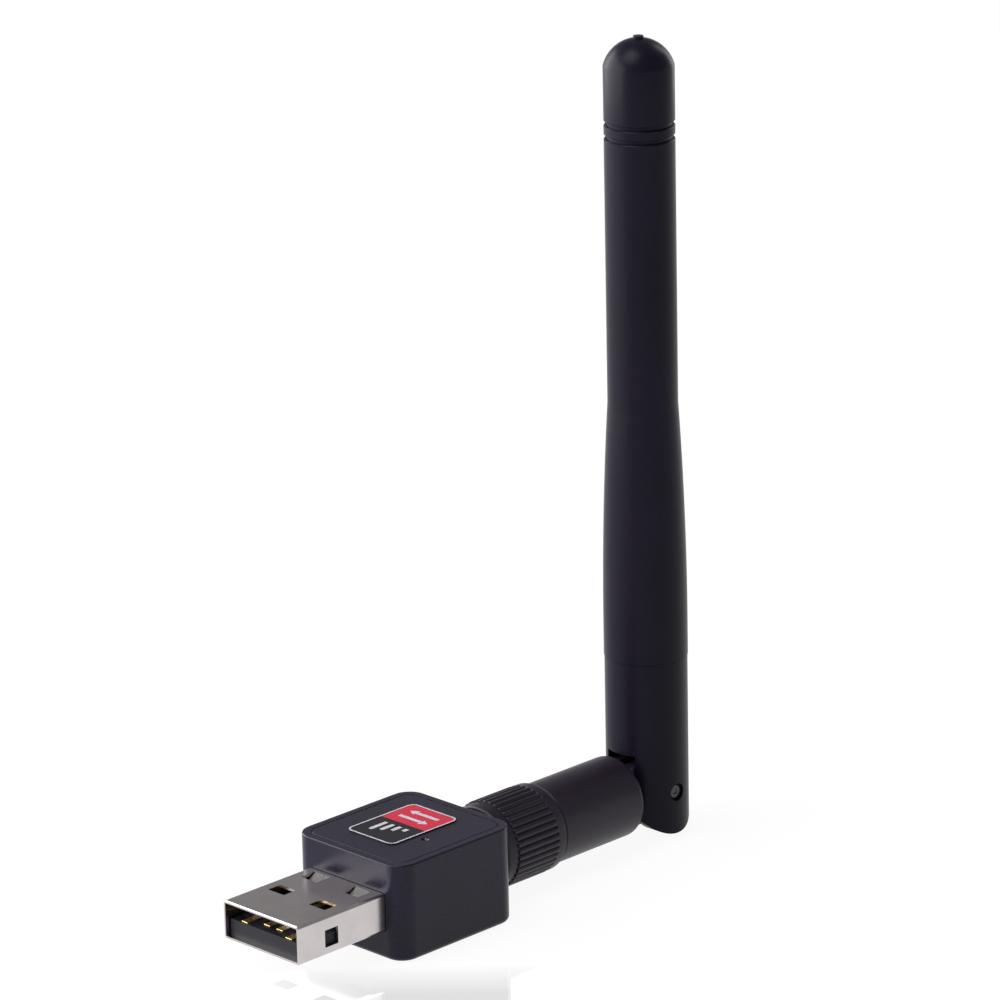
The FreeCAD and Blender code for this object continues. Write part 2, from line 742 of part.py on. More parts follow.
def ring(label, start, end, inner, outer):
    """A plain ring about the connector's axis."""
    body = new_body(label)
    turned(body, "section", "X", [(start, inner), (end, inner), (end, outer), (start, outer)])
    return body


def make_jack_centre_pin():
    pin = new_body("jack_centre_pin")
    tip = f"({JACK_SHOULDER} + pin_reach)"
    profile = [
        (f"{BOARD_REAR} - pin_tail", "0"),
        (f"{BOARD_REAR} - pin_tail", "pin_radius"),
        (f"{tip} - pin_point", "pin_radius"),
        (tip, "pin_radius - pin_point"),
        (tip, "0"),
    ]
    turned(pin, "rod", "X", profile)
    return pin


# ---------------------------------------------------------------- antenna plug
def make_knurled_sleeve():
    sleeve = new_body("knurled_sleeve")
    knurl_start = f"({SLEEVE_START} + sleeve_collar)"
    knurl_end = f"({SLEEVE_START} + sleeve_collar + knurl_length)"
    rim = f"({KNURL_RADIUS} - knurl_depth / 4)"
    outside = [
        (SLEEVE_START, "0"),
        (SLEEVE_START, f"{COLLAR_RADIUS} - sleeve_bevel"),
        (f"{SLEEVE_START} + sleeve_bevel", COLLAR_RADIUS),
        (knurl_start, COLLAR_RADIUS),
        (knurl_start, KNURL_RADIUS),
        (knurl_end, KNURL_RADIUS),
        (knurl_end, rim),
        (f"{SLEEVE_END} - sleeve_bevel", rim),
        (SLEEVE_END, f"{rim} - sleeve_bevel"),
        (SLEEVE_END, "0"),
    ]
    turned(sleeve, "outside", "X", outside)
    pocket = hexagon(NUT_POCKET)
    extrude(sleeve, "nut_pocket", "YZ", f"{SLEEVE_START} - nut_fit", NUT_END, [pocket], cut=True)
    opening = circle("0", "0", f"{SHANK_RADIUS} + 2 * running_gap")
    lip = (f"{NUT_END} - nut_fit", f"{SLEEVE_END} + nut_fit")
    extrude(sleeve, "shank_opening", "YZ", *lip, [opening], cut=True)
    flute = [
        (f"{KNURL_RADIUS} - knurl_depth", "0"),
        (f"{KNURL_RADIUS} + knurl_depth", "knurl_width"),
        (f"{KNURL_RADIUS} + knurl_depth", "-knurl_width"),
    ]
    first = extrude(sleeve, "flute", "YZ", knurl_start, knurl_end, [flute], cut=True)
    single = first.Shape.Volume
    flutes = sleeve.newObject("PartDesign::PolarPattern", "flutes")
    flutes.Originals = [first]
    flutes.Axis = (first.Profile[0], ["N_Axis"])
    flutes.Angle = 360
    bind(flutes, "Occurrences", "knurl_count")
    sleeve.Tip = flutes
    doc.recompute()
    if flutes.Shape.Volume >= single:
        raise RuntimeError("the knurl has one flute only")
    return sleeve


def make_coupling_nut():
    nut = new_body("coupling_nut")
    nut_start = f"({SLEEVE_START} + nut_setback)"
    extrude(nut, "hexagon", "YZ", nut_start, NUT_END, [hexagon(NUT_FLATS)])
    shoulder = f"({SHOULDER_END} + running_gap)"
    bore = [
        (f"{nut_start} - nut_fit", "0"),
        (f"{nut_start} - nut_fit", "thread_radius + thread_clearance"),
        (shoulder, "thread_radius + thread_clearance"),
        (shoulder, f"{SHANK_RADIUS} + running_gap"),
        (f"{SNAP_START} - running_gap", f"{SHANK_RADIUS} + running_gap"),
        (f"{SNAP_START} - running_gap", f"{SNAP_OUTER} + running_gap"),
        (f"{SNAP_END} + running_gap", f"{SNAP_OUTER} + running_gap"),
        (f"{SNAP_END} + running_gap", f"{SHANK_RADIUS} + running_gap"),
        (f"{NUT_END} + nut_fit", f"{SHANK_RADIUS} + running_gap"),
        (f"{NUT_END} + nut_fit", "0"),
    ]
    turned(nut, "bore", "X", bore, cut=True)
    return nut


def make_snap_ring():
    """A C-shaped spring ring that rides in the plug body's groove."""
    snap = ring("snap_ring", SNAP_START, SNAP_END, f"{SNAP_INNER} + face_gap", SNAP_OUTER)
    gap = ("-snap_opening / 2", "snap_opening / 2")
    thick = (f"{SNAP_START} - face_gap", f"{SNAP_END} + face_gap")
    block(snap, "opening", thick, gap, ("0", f"{SNAP_OUTER} * 2"), cut=True)
    return snap


def make_plug_body():
    plug = new_body("plug_body")
    profile = [
        (f"{JACK_SHOULDER} + face_gap", CORE_RADIUS),
        (f"{JACK_SHOULDER} + face_gap", NOSE_RADIUS),
        (PLUG_SEAT, NOSE_RADIUS),
        (PLUG_SEAT, SHOULDER_RADIUS),
        (SHOULDER_END, SHOULDER_RADIUS),
        (SHOULDER_END, SHANK_RADIUS),
        (f"{SNAP_START} - face_gap", SHANK_RADIUS),
        (f"{SNAP_START} - face_gap", SNAP_INNER),
        (f"{SNAP_END} + face_gap", SNAP_INNER),
        (f"{SNAP_END} + face_gap", SHANK_RADIUS),
        (SHANK_END, SHANK_RADIUS),
        (SHANK_END, TAIL_RADIUS),
        (f"{TAIL_END} - tail_lip_length", TAIL_RADIUS),
        (f"{TAIL_END} - tail_lip_length", f"{TAIL_RADIUS} + tail_lip"),
        (f"{TAIL_END} - tail_lip", f"{TAIL_RADIUS} + tail_lip"),
        (TAIL_END, TAIL_RADIUS),
        (TAIL_END, "cable_radius + running_gap"),
        (CORE_END, "cable_radius + running_gap"),
        (CORE_END, CORE_RADIUS),
    ]
    turned(plug, "shell", "X", profile)
    return plug


def make_plug_centre_socket():
    socket = new_body("plug_centre_socket")
    front = f"({JACK_SHOULDER} + 2 * face_gap)"
    bore = "(pin_radius + centre_socket_gap)"
    profile = [
        (front, bore),
        (front, "centre_socket"),
        (CORE_END, "centre_socket"),
        (CORE_END, "0"),
        (f"{front} + centre_socket_depth", "0"),
        (f"{front} + centre_socket_depth", bore),
    ]
    turned(socket, "sleeve", "X", profile)
    return socket


# ---------------------------------------------------------------- swivel barrel
def make_swivel_barrel():
    barrel = new_body("swivel_barrel")
    lip_start = f"({TAIL_END} - tail_lip_length - lip_play)"
    lip_end = f"({TAIL_END} + lip_play)"
    profile = [
        (BARREL_START, f"{TAIL_RADIUS} + running_gap"),
        (lip_start, f"{TAIL_RADIUS} + running_gap"),
        (lip_start, f"{TAIL_RADIUS} + tail_lip + running_gap"),
        (lip_end, f"{TAIL_RADIUS} + tail_lip + running_gap"),
        (lip_end, "cable_channel"),
        (BARREL_END, "cable_channel"),
        (BARREL_END, "barrel_radius - barrel_round", 1, "barrel_round"),
        (f"{BARREL_END} - barrel_round", "barrel_radius"),
        (f"{BARREL_START} + barrel_bevel", "barrel_radius"),
        (BARREL_START, "barrel_radius - barrel_bevel"),
    ]
    turned(barrel, "tube", "X", profile)
    root = f"({BARREL_END} - tongue_root)"
    tongue = [
        (root, "-tongue_radius"),
        (PIN_PLACE, "-tongue_radius", 1, "tongue_radius"),
        (f"{PIN_PLACE} + tongue_radius", "0", 1, "tongue_radius"),
        (PIN_PLACE, "tongue_radius"),
        (root, "tongue_radius"),
    ]
    extrude(barrel, "tongue", "XZ", "-tongue_width / 2", "tongue_width / 2", [tongue])
    slot = ("-cable_slot / 2", "cable_slot / 2")
    beyond = f"{PIN_PLACE} + 2 * tongue_radius"
    tall = ("-2 * tongue_radius", "2 * tongue_radius")
    block(barrel, "cable_slot", (BARREL_END, beyond), slot, tall, cut=True)
    channel = circle("0", "0", "cable_channel")
    extrude(barrel, "cable_hole", "YZ", f"{root} - lip_play", f"{BARREL_END} + lip_play", [channel], cut=True)
    hole = circle(PIN_PLACE, "0", "hinge_pin + pin_running")
    extrude(barrel, "pin_hole", "XZ", "-tongue_width", "tongue_width", [hole], cut=True)
    return barrel


# ---------------------------------------------------------------- antenna, modelled about its hinge pin
def on_hinge(body):
    bind(body, "Placement.Base.x", PIN_PLACE)
    return body


def make_antenna_knuckle():
    knuckle = new_body("antenna_knuckle")
    extrude(knuckle, "post", "XY", "-knuckle_round", "knuckle_height", [circle("0", "0", "knuckle_radius")])
    wide, deep = "(2 * knuckle_round)", "(2 * knuckle_round)"
    below = [
        (f"-{wide}", "0"),
        ("-knuckle_round", "0", 1, "knuckle_round"),
        ("0", "-knuckle_round", 1, "knuckle_round"),
        ("knuckle_round", "0"),
        (wide, "0"),
        (wide, f"-{deep}"),
        (f"-{wide}", f"-{deep}"),
    ]
    extrude(knuckle, "round_end", "XZ", f"-{wide}", wide, [below], cut=True)
    reach = "(tongue_radius + tongue_play)"
    slot = [
        (f"-{wide}", "slot_top"),
        (f"-{wide}", f"-{deep}"),
        (reach, f"-{deep}"),
        (reach, "0", 1, reach),
        ("slot_back", f"sqrt({reach} * {reach} - slot_back * slot_back)"),
        ("slot_back", "slot_top"),
    ]
    extrude(knuckle, "ear_slot", "XZ", "-ear_slot / 2", "ear_slot / 2", [slot], cut=True)
    extrude(knuckle, "spigot", "XY", "knuckle_height", "knuckle_height + spigot_height",
            [circle("0", "0", "spigot_radius")])
    over = "knuckle_height + spigot_height + cable_bore"
    bore = circle("0", "0", "cable_bore")
    extrude(knuckle, "cable_bore", "XY", "slot_top - cable_bore", over, [bore], cut=True)
    pin_bore = circle("0", "0", "hinge_pin + pin_press")
    extrude(knuckle, "pin_bore", "XZ", f"-{wide}", wide, [pin_bore], cut=True)
    for sign, low, high in both_sides("pin_outer", wide):
        side = "left" if sign > 0 else "right"
        extrude(knuckle, f"pin_recess_{side}", "XZ", low, high, [circle("0", "0", "pin_recess")], cut=True)
    return on_hinge(knuckle)


def make_hinge_pin(label, low, high):
    pin = new_body(label)
    turned(pin, "rod", "Y", [(low, "0"), (high, "0"), (high, "hinge_pin"), (low, "hinge_pin")])
    return on_hinge(pin)


def make_radome():
    """The tapered plastic tube: a long shallow arc, two ring grooves and a domed tip."""
    radome = new_body("radome")
    drop, rise = "(tube_foot_radius - tube_radius)", "(taper_end - taper_start)"
    taper = f"(({drop} * {drop} + {rise} * {rise}) / (2 * {drop}))"
    dome = "((tube_radius * tube_radius + dome_height * dome_height) / (2 * dome_height))"
    top, bore_end = "(dome_start + dome_height)", "(dome_start + dome_height - tip_wall)"
    seat = "(knuckle_height + spigot_height + spigot_gap)"
    profile = [
        ("knuckle_height", "spigot_radius + spigot_gap"),
        (seat, "spigot_radius + spigot_gap"),
        (seat, "tube_bore"),
        (f"{bore_end} - tube_bore / 2", "tube_bore"),
        (bore_end, "tube_bore / 2"),
        (bore_end, "0"),
        (f"{top} + nub_height", "0"),
        (f"{top} + nub_height", "nub_radius"),
        (f"{top} - nub_height", "nub_radius"),
    ]
    # The dome's arc starts where it comes out of the moulding nub.
    nub_level = f"({top} - {dome} + sqrt({dome} * {dome} - nub_radius * nub_radius))"
    profile[-1] = (nub_level, "nub_radius", 1, dome)
    profile.append(("dome_start", "tube_radius"))
    for groove in ("groove_high", "groove_low"):
        profile += [
            (f"{groove} + groove_width / 2", "tube_radius"),
            (f"{groove} + groove_width / 2", "tube_radius - groove_depth"),
            (f"{groove} - groove_width / 2", "tube_radius - groove_depth"),
            (f"{groove} - groove_width / 2", "tube_radius"),
        ]
    profile += [
        ("taper_end", "tube_radius", -1, taper),
        ("taper_start", "tube_foot_radius"),
        ("knuckle_height", "tube_foot_radius"),
    ]
    turned(radome, "tube", "Z", profile)
    return on_hinge(radome)


def on_antenna(label, profile):
    body = new_body(label)
    turned(body, "section", "Z", profile)
    return on_hinge(body)


def make_coax_bend():
    """The quarter turn of cable inside the hinge, from along +X to along +Z."""
    bend = doc.addObject("Part::Torus", "coax_bend")
    bend.Label = "coax_bend"
    bend.Angle3 = 90
    sides = (FreeCAD.Vector(0, 0, -1), FreeCAD.Vector(1, 0, 0), FreeCAD.Vector(0, -1, 0))
    turn = FreeCAD.Rotation(*sides, "XYZ")
    bend.Placement = FreeCAD.Placement(FreeCAD.Vector(), turn)
    bind(bend, "Radius1", "bend_radius")
    bind(bend, "Radius2", "cable_radius")
    bind(bend, "Placement.Base.x", BEND_START)
    bind(bend, "Placement.Base.z", "bend_radius")
    return bend


pieces = [make_lower_case(), make_top_cover(), make_top_label(), make_light_pipe()]
pieces += [make_usb_shell(), make_usb_insulator()]
pieces += [make_usb_contact(name, front, side) for name, (front, side) in CONTACTS.items()]
pieces += [
    make_circuit_board(),
    chip("wifi_chip", "radio_place", "0", "radio_size", "radio_size", "radio_height"),
    chip("crystal", "crystal_place", "crystal_side", "crystal_length", "crystal_width", "crystal_height"),
    chip("status_led", "led_place", "-led_side", "led_length", "led_width", "led_height"),
    chip("voltage_regulator", "regulator_place", "regulator_side", "regulator_length", "regulator_width",
         "regulator_height", under=True),
    chip_row("chip_capacitors", 3, "post_front - chip_pitch / 2", "(radio_size / 2 + chip_length)",
             "chip_height", False),
    chip_row("chip_resistors", 3, "post_front + chip_pitch", "-(radio_size / 2 + chip_length)",
             "resistor_height", False),
    make_jack_body(),
    ring("jack_insulator", BOARD_REAR, JACK_SHOULDER, "pin_radius", JACK_BORE),
    make_jack_centre_pin(),
    make_knurled_sleeve(),
    make_coupling_nut(),
    make_snap_ring(),
    make_plug_body(),
    ring("plug_gasket", JACK_TIP, PLUG_SEAT, SOCKET_RADIUS, f"{SHOULDER_RADIUS} - gasket_margin"),
    ring("plug_insulator", f"{JACK_SHOULDER} + 2 * face_gap", CORE_END, "centre_socket",
         CORE_RADIUS),
    make_plug_centre_socket(),
    make_swivel_barrel(),
    make_antenna_knuckle(),
    make_hinge_pin("hinge_pin_left", "pin_inner", "pin_outer"),
    make_hinge_pin("hinge_pin_right", "-pin_outer", "-pin_inner"),
    make_radome(),
    ring("coax_lower", CORE_END, BEND_START, "0", "cable_radius"),
    make_coax_bend(),
    on_antenna("coax_upper", [
        ("bend_radius", "0"), (FEED_END, "0"), (FEED_END, "cable_radius"), ("bend_radius", "cable_radius")]),
    on_antenna("radiator_sleeve", [
        ("choke_start", "choke_radius - choke_wall"),
        (f"{CHOKE_END} - choke_cap", "choke_radius - choke_wall"),
        (f"{CHOKE_END} - choke_cap", "cable_radius + choke_gap"),
        (CHOKE_END, "cable_radius + choke_gap"),
        (CHOKE_END, "choke_radius"),
        ("choke_start", "choke_radius")]),
    on_antenna("radiator_wire", [
        (FEED_END, "0"), (f"{FEED_END} + wire_length", "0"),
        (f"{FEED_END} + wire_length", "wire_radius"), (FEED_END, "wire_radius")]),
]

doc.recompute()
for item in doc.Objects:
    if {"Invalid", "Error"} & set(item.State):
        raise RuntimeError(f"{item.Label} failed: {item.State}")
for piece in pieces:
    if piece.Shape.isNull() or not piece.Shape.isValid() or piece.Shape.Volume <= 0:
        raise RuntimeError(f"{piece.Label} has no valid solid")

os.makedirs("parts", exist_ok=True)
for piece in pieces:
    piece.Shape.exportStep(f"parts/{piece.Label}.step")
print(f"{len(pieces)} pieces written")
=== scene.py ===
"""USB wireless adapter with a folding antenna: the visible pieces, their finishes and the studio.

Laid out as an add-on: settings, one operator for each piece or group of like pieces, one panel.
Every length here is in metres and every place is in the frame that the CAD model gives.
"""
import json
from math import atan2, cos, pi, radians, sin, sqrt

import bmesh
import bpy
from bpy.props import FloatProperty, FloatVectorProperty, IntProperty, PointerProperty, StringProperty
from mathutils import Matrix, Vector


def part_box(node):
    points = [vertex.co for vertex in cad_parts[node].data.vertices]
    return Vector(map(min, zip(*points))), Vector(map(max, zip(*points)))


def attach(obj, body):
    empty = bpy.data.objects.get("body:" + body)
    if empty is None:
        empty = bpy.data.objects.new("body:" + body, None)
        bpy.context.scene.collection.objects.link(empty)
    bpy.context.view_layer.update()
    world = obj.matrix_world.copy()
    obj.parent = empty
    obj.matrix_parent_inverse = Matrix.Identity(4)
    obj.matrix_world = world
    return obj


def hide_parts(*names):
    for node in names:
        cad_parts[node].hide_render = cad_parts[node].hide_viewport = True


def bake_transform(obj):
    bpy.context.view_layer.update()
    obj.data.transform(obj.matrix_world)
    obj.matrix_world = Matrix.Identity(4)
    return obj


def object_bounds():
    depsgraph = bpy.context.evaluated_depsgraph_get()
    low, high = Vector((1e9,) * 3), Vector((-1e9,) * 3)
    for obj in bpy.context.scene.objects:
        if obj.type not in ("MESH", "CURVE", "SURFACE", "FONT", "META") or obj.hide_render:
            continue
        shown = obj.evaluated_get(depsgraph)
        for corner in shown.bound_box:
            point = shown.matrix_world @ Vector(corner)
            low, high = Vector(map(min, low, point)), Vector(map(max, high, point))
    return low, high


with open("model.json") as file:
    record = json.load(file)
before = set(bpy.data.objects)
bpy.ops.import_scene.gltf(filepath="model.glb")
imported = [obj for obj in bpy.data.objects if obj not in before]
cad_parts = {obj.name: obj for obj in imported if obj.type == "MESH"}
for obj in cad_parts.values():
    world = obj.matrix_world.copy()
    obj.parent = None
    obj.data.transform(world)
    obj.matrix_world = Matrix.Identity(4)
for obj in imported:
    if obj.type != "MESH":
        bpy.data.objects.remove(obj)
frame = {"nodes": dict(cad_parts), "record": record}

bl_info = {
    "name": "USB wireless adapter",
    "version": (1, 0, 0),
    "blender": (4, 5, 0),
    "location": "3D View > Sidebar > Adapter",
    "description": "Builds the adapter's visible pieces round its CAD frame",
    "category": "Object",
}

MM = 0.001
MERGE = 1e-6  # points nearer than this are one point
FLAT_ANGLE = radians(0.3)  # faces that turn less than this are one flat face
SHARP_ANGLE = radians(35)  # edges that turn more than this stay sharp
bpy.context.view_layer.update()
MATH, VECTOR, RANGE = "ShaderNodeMath", "ShaderNodeVectorMath", "ShaderNodeMapRange"
COMBINE, SEPARATE = "ShaderNodeCombineXYZ", "ShaderNodeSeparateXYZ"
PLACE, NOISE = "ShaderNodeTexCoord", "ShaderNodeTexNoise"
OVERHEAD = 0.3  # brightness of the room overhead, where white is 1
ROOM_LIGHT = 0.38  # even light that the room's walls give
WHITE_TOP, DIM_FROM = 0.1, 0.24  # sines of the heights where the room's white ends and its dim part starts

# Places read from the frame.
LABEL_LOW, LABEL_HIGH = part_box("top_label")
SLEEVE_LOW, SLEEVE_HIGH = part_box("knurled_sleeve")
RADOME_LOW, RADOME_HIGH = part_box("radome")
POWER_LOW, POWER_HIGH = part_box("usb_contact_ground")
DATA_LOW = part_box("usb_contact_data_plus")[0]
BEND_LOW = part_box("coax_bend")[0]
PIN_LOW, PIN_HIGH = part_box("hinge_pin_left")
PIPE_LOW, PIPE_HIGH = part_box("led_light_pipe")
OBJECT_LOW, OBJECT_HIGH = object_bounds()
PIN_X = (PIN_LOW.x + PIN_HIGH.x) / 2


# ---- settings
def length(name, description, size):
    """A length in metres."""
    return FloatProperty(name=name, description=description, default=size, unit="LENGTH", precision=6)


def shade(name, description, code):
    """A colour as an sRGB hex value."""
    return StringProperty(name=name, description=f"{description}, as an sRGB hex value", default=code)


class PlasticSettings(bpy.types.PropertyGroup):
    """The two black mouldings: the case and the antenna."""

    case_colour: shade("Case colour", "Black ABS of the case", "#151124")
    antenna_colour: shade("Antenna colour", "Black plastic of the antenna", "#120e1c")
    hinge_colour: shade("Hinge colour", "Black plastic of the hinge and sleeve", "#231c28")
    case_grain: length("Case grain", "Width of the mould's spark-eroded texture", 0.16 * MM)
    antenna_grain: length("Antenna grain", "Width of the finer texture on the antenna", 0.11 * MM)
    edge_round: length("Edge round", "Rounding on moulded edges", 0.11 * MM)


class PlugSettings(bpy.types.PropertyGroup):
    """The steel plug and what is inside it."""

    steel_colour: shade("Steel colour", "Nickel-plated steel of the plug", "#cbc4c5")
    gold_colour: shade("Gold colour", "Gold plating of the contacts", "#ffdb94")
    sheet_round: length("Sheet round", "Rounding that the press leaves on the sheet's edges", 0.05 * MM)
    power_pitch: length("Power pitch", "Distance between the two outer contacts", 7.0 * MM)
    data_pitch: length("Data pitch", "Distance between the two inner contacts", 2.0 * MM)


class LabelSettings(bpy.types.PropertyGroup):
    """The printed label on the lid."""

    film_colour: shade("Film colour", "Black of the label's front half", "#0b0a10")
    red_colour: shade("Red colour", "Red of the label's rear half", "#b3203a")
    ink_colour: shade("Ink colour", "Pale ink of the frame and marks", "#b4b1ba")
    corner: length("Corner", "Corner radius of the label", 1.0 * MM)
    frame_width: length("Frame width", "Width of the printed frame", 0.2 * MM)
    split: FloatProperty(name="Split", description="Share of the label's length that is black", default=0.51,
                         min=0.0, max=1.0, subtype="FACTOR")
    bars: IntProperty(name="Bars", description="Number of rising bars", default=4, min=1)


class SleeveSettings(bpy.types.PropertyGroup):
    """The knurled sleeve over the coupling nut."""

    flutes: IntProperty(name="Flutes", description="Number of flutes round the sleeve", default=40, min=3)
    flute_depth: length("Flute depth", "Depth of one flute", 0.25 * MM)
    wander: length("Wander", "How much one ridge's height differs from the next", 0.03 * MM)
    collar: length("Collar", "Length of the plain collar in front of the flutes", 1.6 * MM)
    knurl: length("Knurl", "Length of the fluted band", 6.4 * MM)


class AntennaSettings(bpy.types.PropertyGroup):
    """The radome's run of radii along its height."""

    foot_radius: length("Foot radius", "Radius of the tube at its foot", 4.86 * MM)
    tube_radius: length("Tube radius", "Radius of the straight tube", 4.03 * MM)
    taper_start: length("Taper start", "Height where the taper starts", 20.0 * MM)
    taper_end: length("Taper end", "Height where the taper ends", 46.4 * MM)
    groove_low: length("Lower groove", "Height of the lower ring groove", 77.4 * MM)
    groove_high: length("Upper groove", "Height of the upper ring groove", 78.95 * MM)
    groove_width: length("Groove width", "Width of a ring groove", 0.5 * MM)
    groove_depth: length("Groove depth", "Depth of a ring groove", 0.35 * MM)
    dome_start: length("Dome start", "Height where the domed tip starts", 85.5 * MM)
    dome_height: length("Dome height", "Height of the domed tip", 3.1 * MM)
    cable_radius: length("Cable radius", "Radius of the coaxial cable", 0.565 * MM)
    bend_radius: length("Bend radius", "Radius of the cable's bend at the hinge", 4.8 * MM)


class StageSettings(bpy.types.PropertyGroup):
    """The floor, the lamps and the camera."""

    lens: FloatProperty(name="Lens", description="Focal length of the camera", default=190.84, unit="CAMERA")
    place: FloatVectorProperty(name="Camera place", description="Where the camera stands",
                               default=(-0.37087, -0.39730, 0.22036), subtype="TRANSLATION", unit="LENGTH")
    azimuth: FloatProperty(name="Azimuth", description="Turn of the camera round the object",
                           default=radians(-44.9), subtype="ANGLE")
    elevation: FloatProperty(name="Elevation", description="Angle of the camera above the horizon",
                             default=radians(17.81), subtype="ANGLE")
    roll: FloatProperty(name="Roll", description="Tilt of the camera about its own axis",
                        default=radians(-1.21), subtype="ANGLE")
    mirror: FloatProperty(name="Floor gloss", description="Share of the floor that mirrors", default=1.0,
                          min=0.0, max=1.0, subtype="FACTOR")


SETTINGS = {
    "adapter_plastic": PlasticSettings,
    "adapter_plug": PlugSettings,
    "adapter_label": LabelSettings,
    "adapter_sleeve": SleeveSettings,
    "adapter_antenna": AntennaSettings,
    "adapter_stage": StageSettings,
}


# ---- node and colour helpers
def colour(code):
    """An sRGB hex value as linear red, green, blue and alpha."""
    parts = [int(code[i:i + 2], 16) / 255 for i in (1, 3, 5)]
    return tuple(c / 12.92 if c <= 0.04045 else ((c + 0.055) / 1.055) ** 2.4 for c in parts) + (1.0,)


def add_node(tree, kind, inputs=None, **settings):
    """Adds a node with its settings; an input gets its value, or a link where the value is a socket."""
    made = tree.nodes.new(kind)
    for name, setting in settings.items():
        setattr(made, name, setting)
    for name, value in (inputs or {}).items():
        if isinstance(value, bpy.types.NodeSocket):
            tree.links.new(value, made.inputs[name])
        else:
            made.inputs[name].default_value = value
    return made


def seen_rays(tree):
    """One where a ray comes from the camera, from metal or through glass; also the light path."""
    rays = add_node(tree, "ShaderNodeLightPath").outputs
    direct = add_node(tree, MATH, {0: rays["Is Camera Ray"], 1: rays["Is Glossy Ray"]},
                      operation="MAXIMUM").outputs[0]
    seen = add_node(tree, MATH, {0: direct, 1: rays["Is Transmission Ray"]}, operation="MAXIMUM")
    return seen.outputs[0], rays


def darker(code, share):
    """The same hue with less of each part."""
    return "#" + "".join(f"{round(int(code[i:i + 2], 16) * share):02x}" for i in (1, 3, 5))


# ---- finishes
NOISE_LOW, NOISE_HIGH = 0.3, 0.7  # the range that most of a noise texture lies in
GLOSS_DRIFT = 0.14  # how far the roughness drifts to each side
HANDLED, DULLED = 9 * MM, 3 * MM  # width of the patches on handled plastic and on plating
PEEL, SWIRL, WEAVE = 0.5 * MM, 0.3 * MM, 0.4 * MM  # ink's orange peel, clear plastic's flow, glass cloth
FINISHES = {}


def empty_material(name):
    """A new material and its cleared tree."""
    material = bpy.data.materials.new(name)
    material.use_nodes = True
    material.node_tree.nodes.clear()
    return material, material.node_tree


def new_finish(name, code, dull, roughness, marks, patch, depth, sockets, run=(1, 1, 1)):
    """A material on the piece's own coordinates.

    Marks of one width, stretched along the run of the tool, give the relief and the spread of gloss. Wider
    patches drift between the colour and the same colour at its dull share.
    """
    material, tree = empty_material(name)
    place = add_node(tree, PLACE).outputs["Object"]
    along = add_node(tree, "ShaderNodeMapping", {"Vector": place, "Scale": run}).outputs["Vector"]
    fine = add_node(tree, NOISE, {"Vector": along, "Scale": 1 / marks, "Detail": 3.0,
                                  "Roughness": 0.6}).outputs["Fac"]
    cloud = add_node(tree, NOISE, {"Vector": place, "Scale": 1 / patch, "Detail": 2.0})
    share = add_node(tree, RANGE, {"Value": cloud.outputs["Fac"], "From Min": NOISE_LOW,
                                   "From Max": NOISE_HIGH})
    shaded = add_node(tree, "ShaderNodeMix", {0: share.outputs["Result"], 6: colour(darker(code, dull)),
                                              7: colour(code)}, data_type="RGBA")
    rough = add_node(tree, RANGE, {"Value": fine, "From Min": NOISE_LOW, "From Max": NOISE_HIGH,
                                   "To Min": roughness * (1 - GLOSS_DRIFT),
                                   "To Max": roughness * (1 + GLOSS_DRIFT)})
    bump = add_node(tree, "ShaderNodeBump", {"Height": fine, "Distance": depth})
    surface = add_node(tree, "ShaderNodeBsdfPrincipled", {
        "Base Color": shaded.outputs[2], "Roughness": rough.outputs["Result"],
        "Normal": bump.outputs["Normal"], **sockets})
    add_node(tree, "ShaderNodeOutputMaterial", {"Surface": surface.outputs["BSDF"]})
    return material


def moulded_plastic(name, code, grain, roughness, depth, ior=1.53, specular=0.5):
    """A moulded plastic: grain from the mould, and cloudy patches where handling has polished it."""
    return new_finish(name, code, 0.86, roughness, grain, HANDLED, depth,
                      {"IOR": ior, "Specular IOR Level": specular})


def plated_metal(name, code, roughness, streak, run=(0.06, 1, 1), depth=0.0012 * MM, dull=0.96):
    """A plated metal: fine lines along the rolling or turning direction and a faint dulling in patches."""
    return new_finish(name, code, dull, roughness, streak, DULLED, depth, {"Metallic": 1.0}, run)


def printed_film(name, code, roughness):
    """Screen-printed polypropylene film: a flat even ink under a soft gloss, with a slight orange peel."""
    return new_finish(name, code, 0.93, roughness, PEEL, PEEL, 0.002 * MM,
                      {"IOR": 1.49, "Specular IOR Level": 0.22})


def clear_plastic(name):
    """Clear polycarbonate whose dark colour is partly a smoked tint and partly painted shade of the pit:
    light goes in, so that the unlit window looks like a dark pit.
    """
    return new_finish(name, "#0b0b0e", 0.6, 0.13, SWIRL, SWIRL, 0.001 * MM,
                      {"IOR": 1.585, "Transmission Weight": 0.35, "Specular IOR Level": 0.2})


def solder_mask(name):
    """Glass-epoxy board under green solder mask: the weave shows as a fine grid below a wet gloss."""
    material, tree = empty_material(name)
    place = add_node(tree, PLACE).outputs["Object"]
    weave = add_node(tree, "ShaderNodeTexChecker", {"Vector": place, "Scale": 1 / WEAVE,
                                                    "Color1": colour("#0f4a2c"), "Color2": colour("#0d4127")})
    surface = add_node(tree, "ShaderNodeBsdfPrincipled", {
        "Base Color": weave.outputs["Color"], "Roughness": 0.28, "Coat Weight": 0.5, "Coat Roughness": 0.1})
    add_node(tree, "ShaderNodeOutputMaterial", {"Surface": surface.outputs["BSDF"]})
    return material


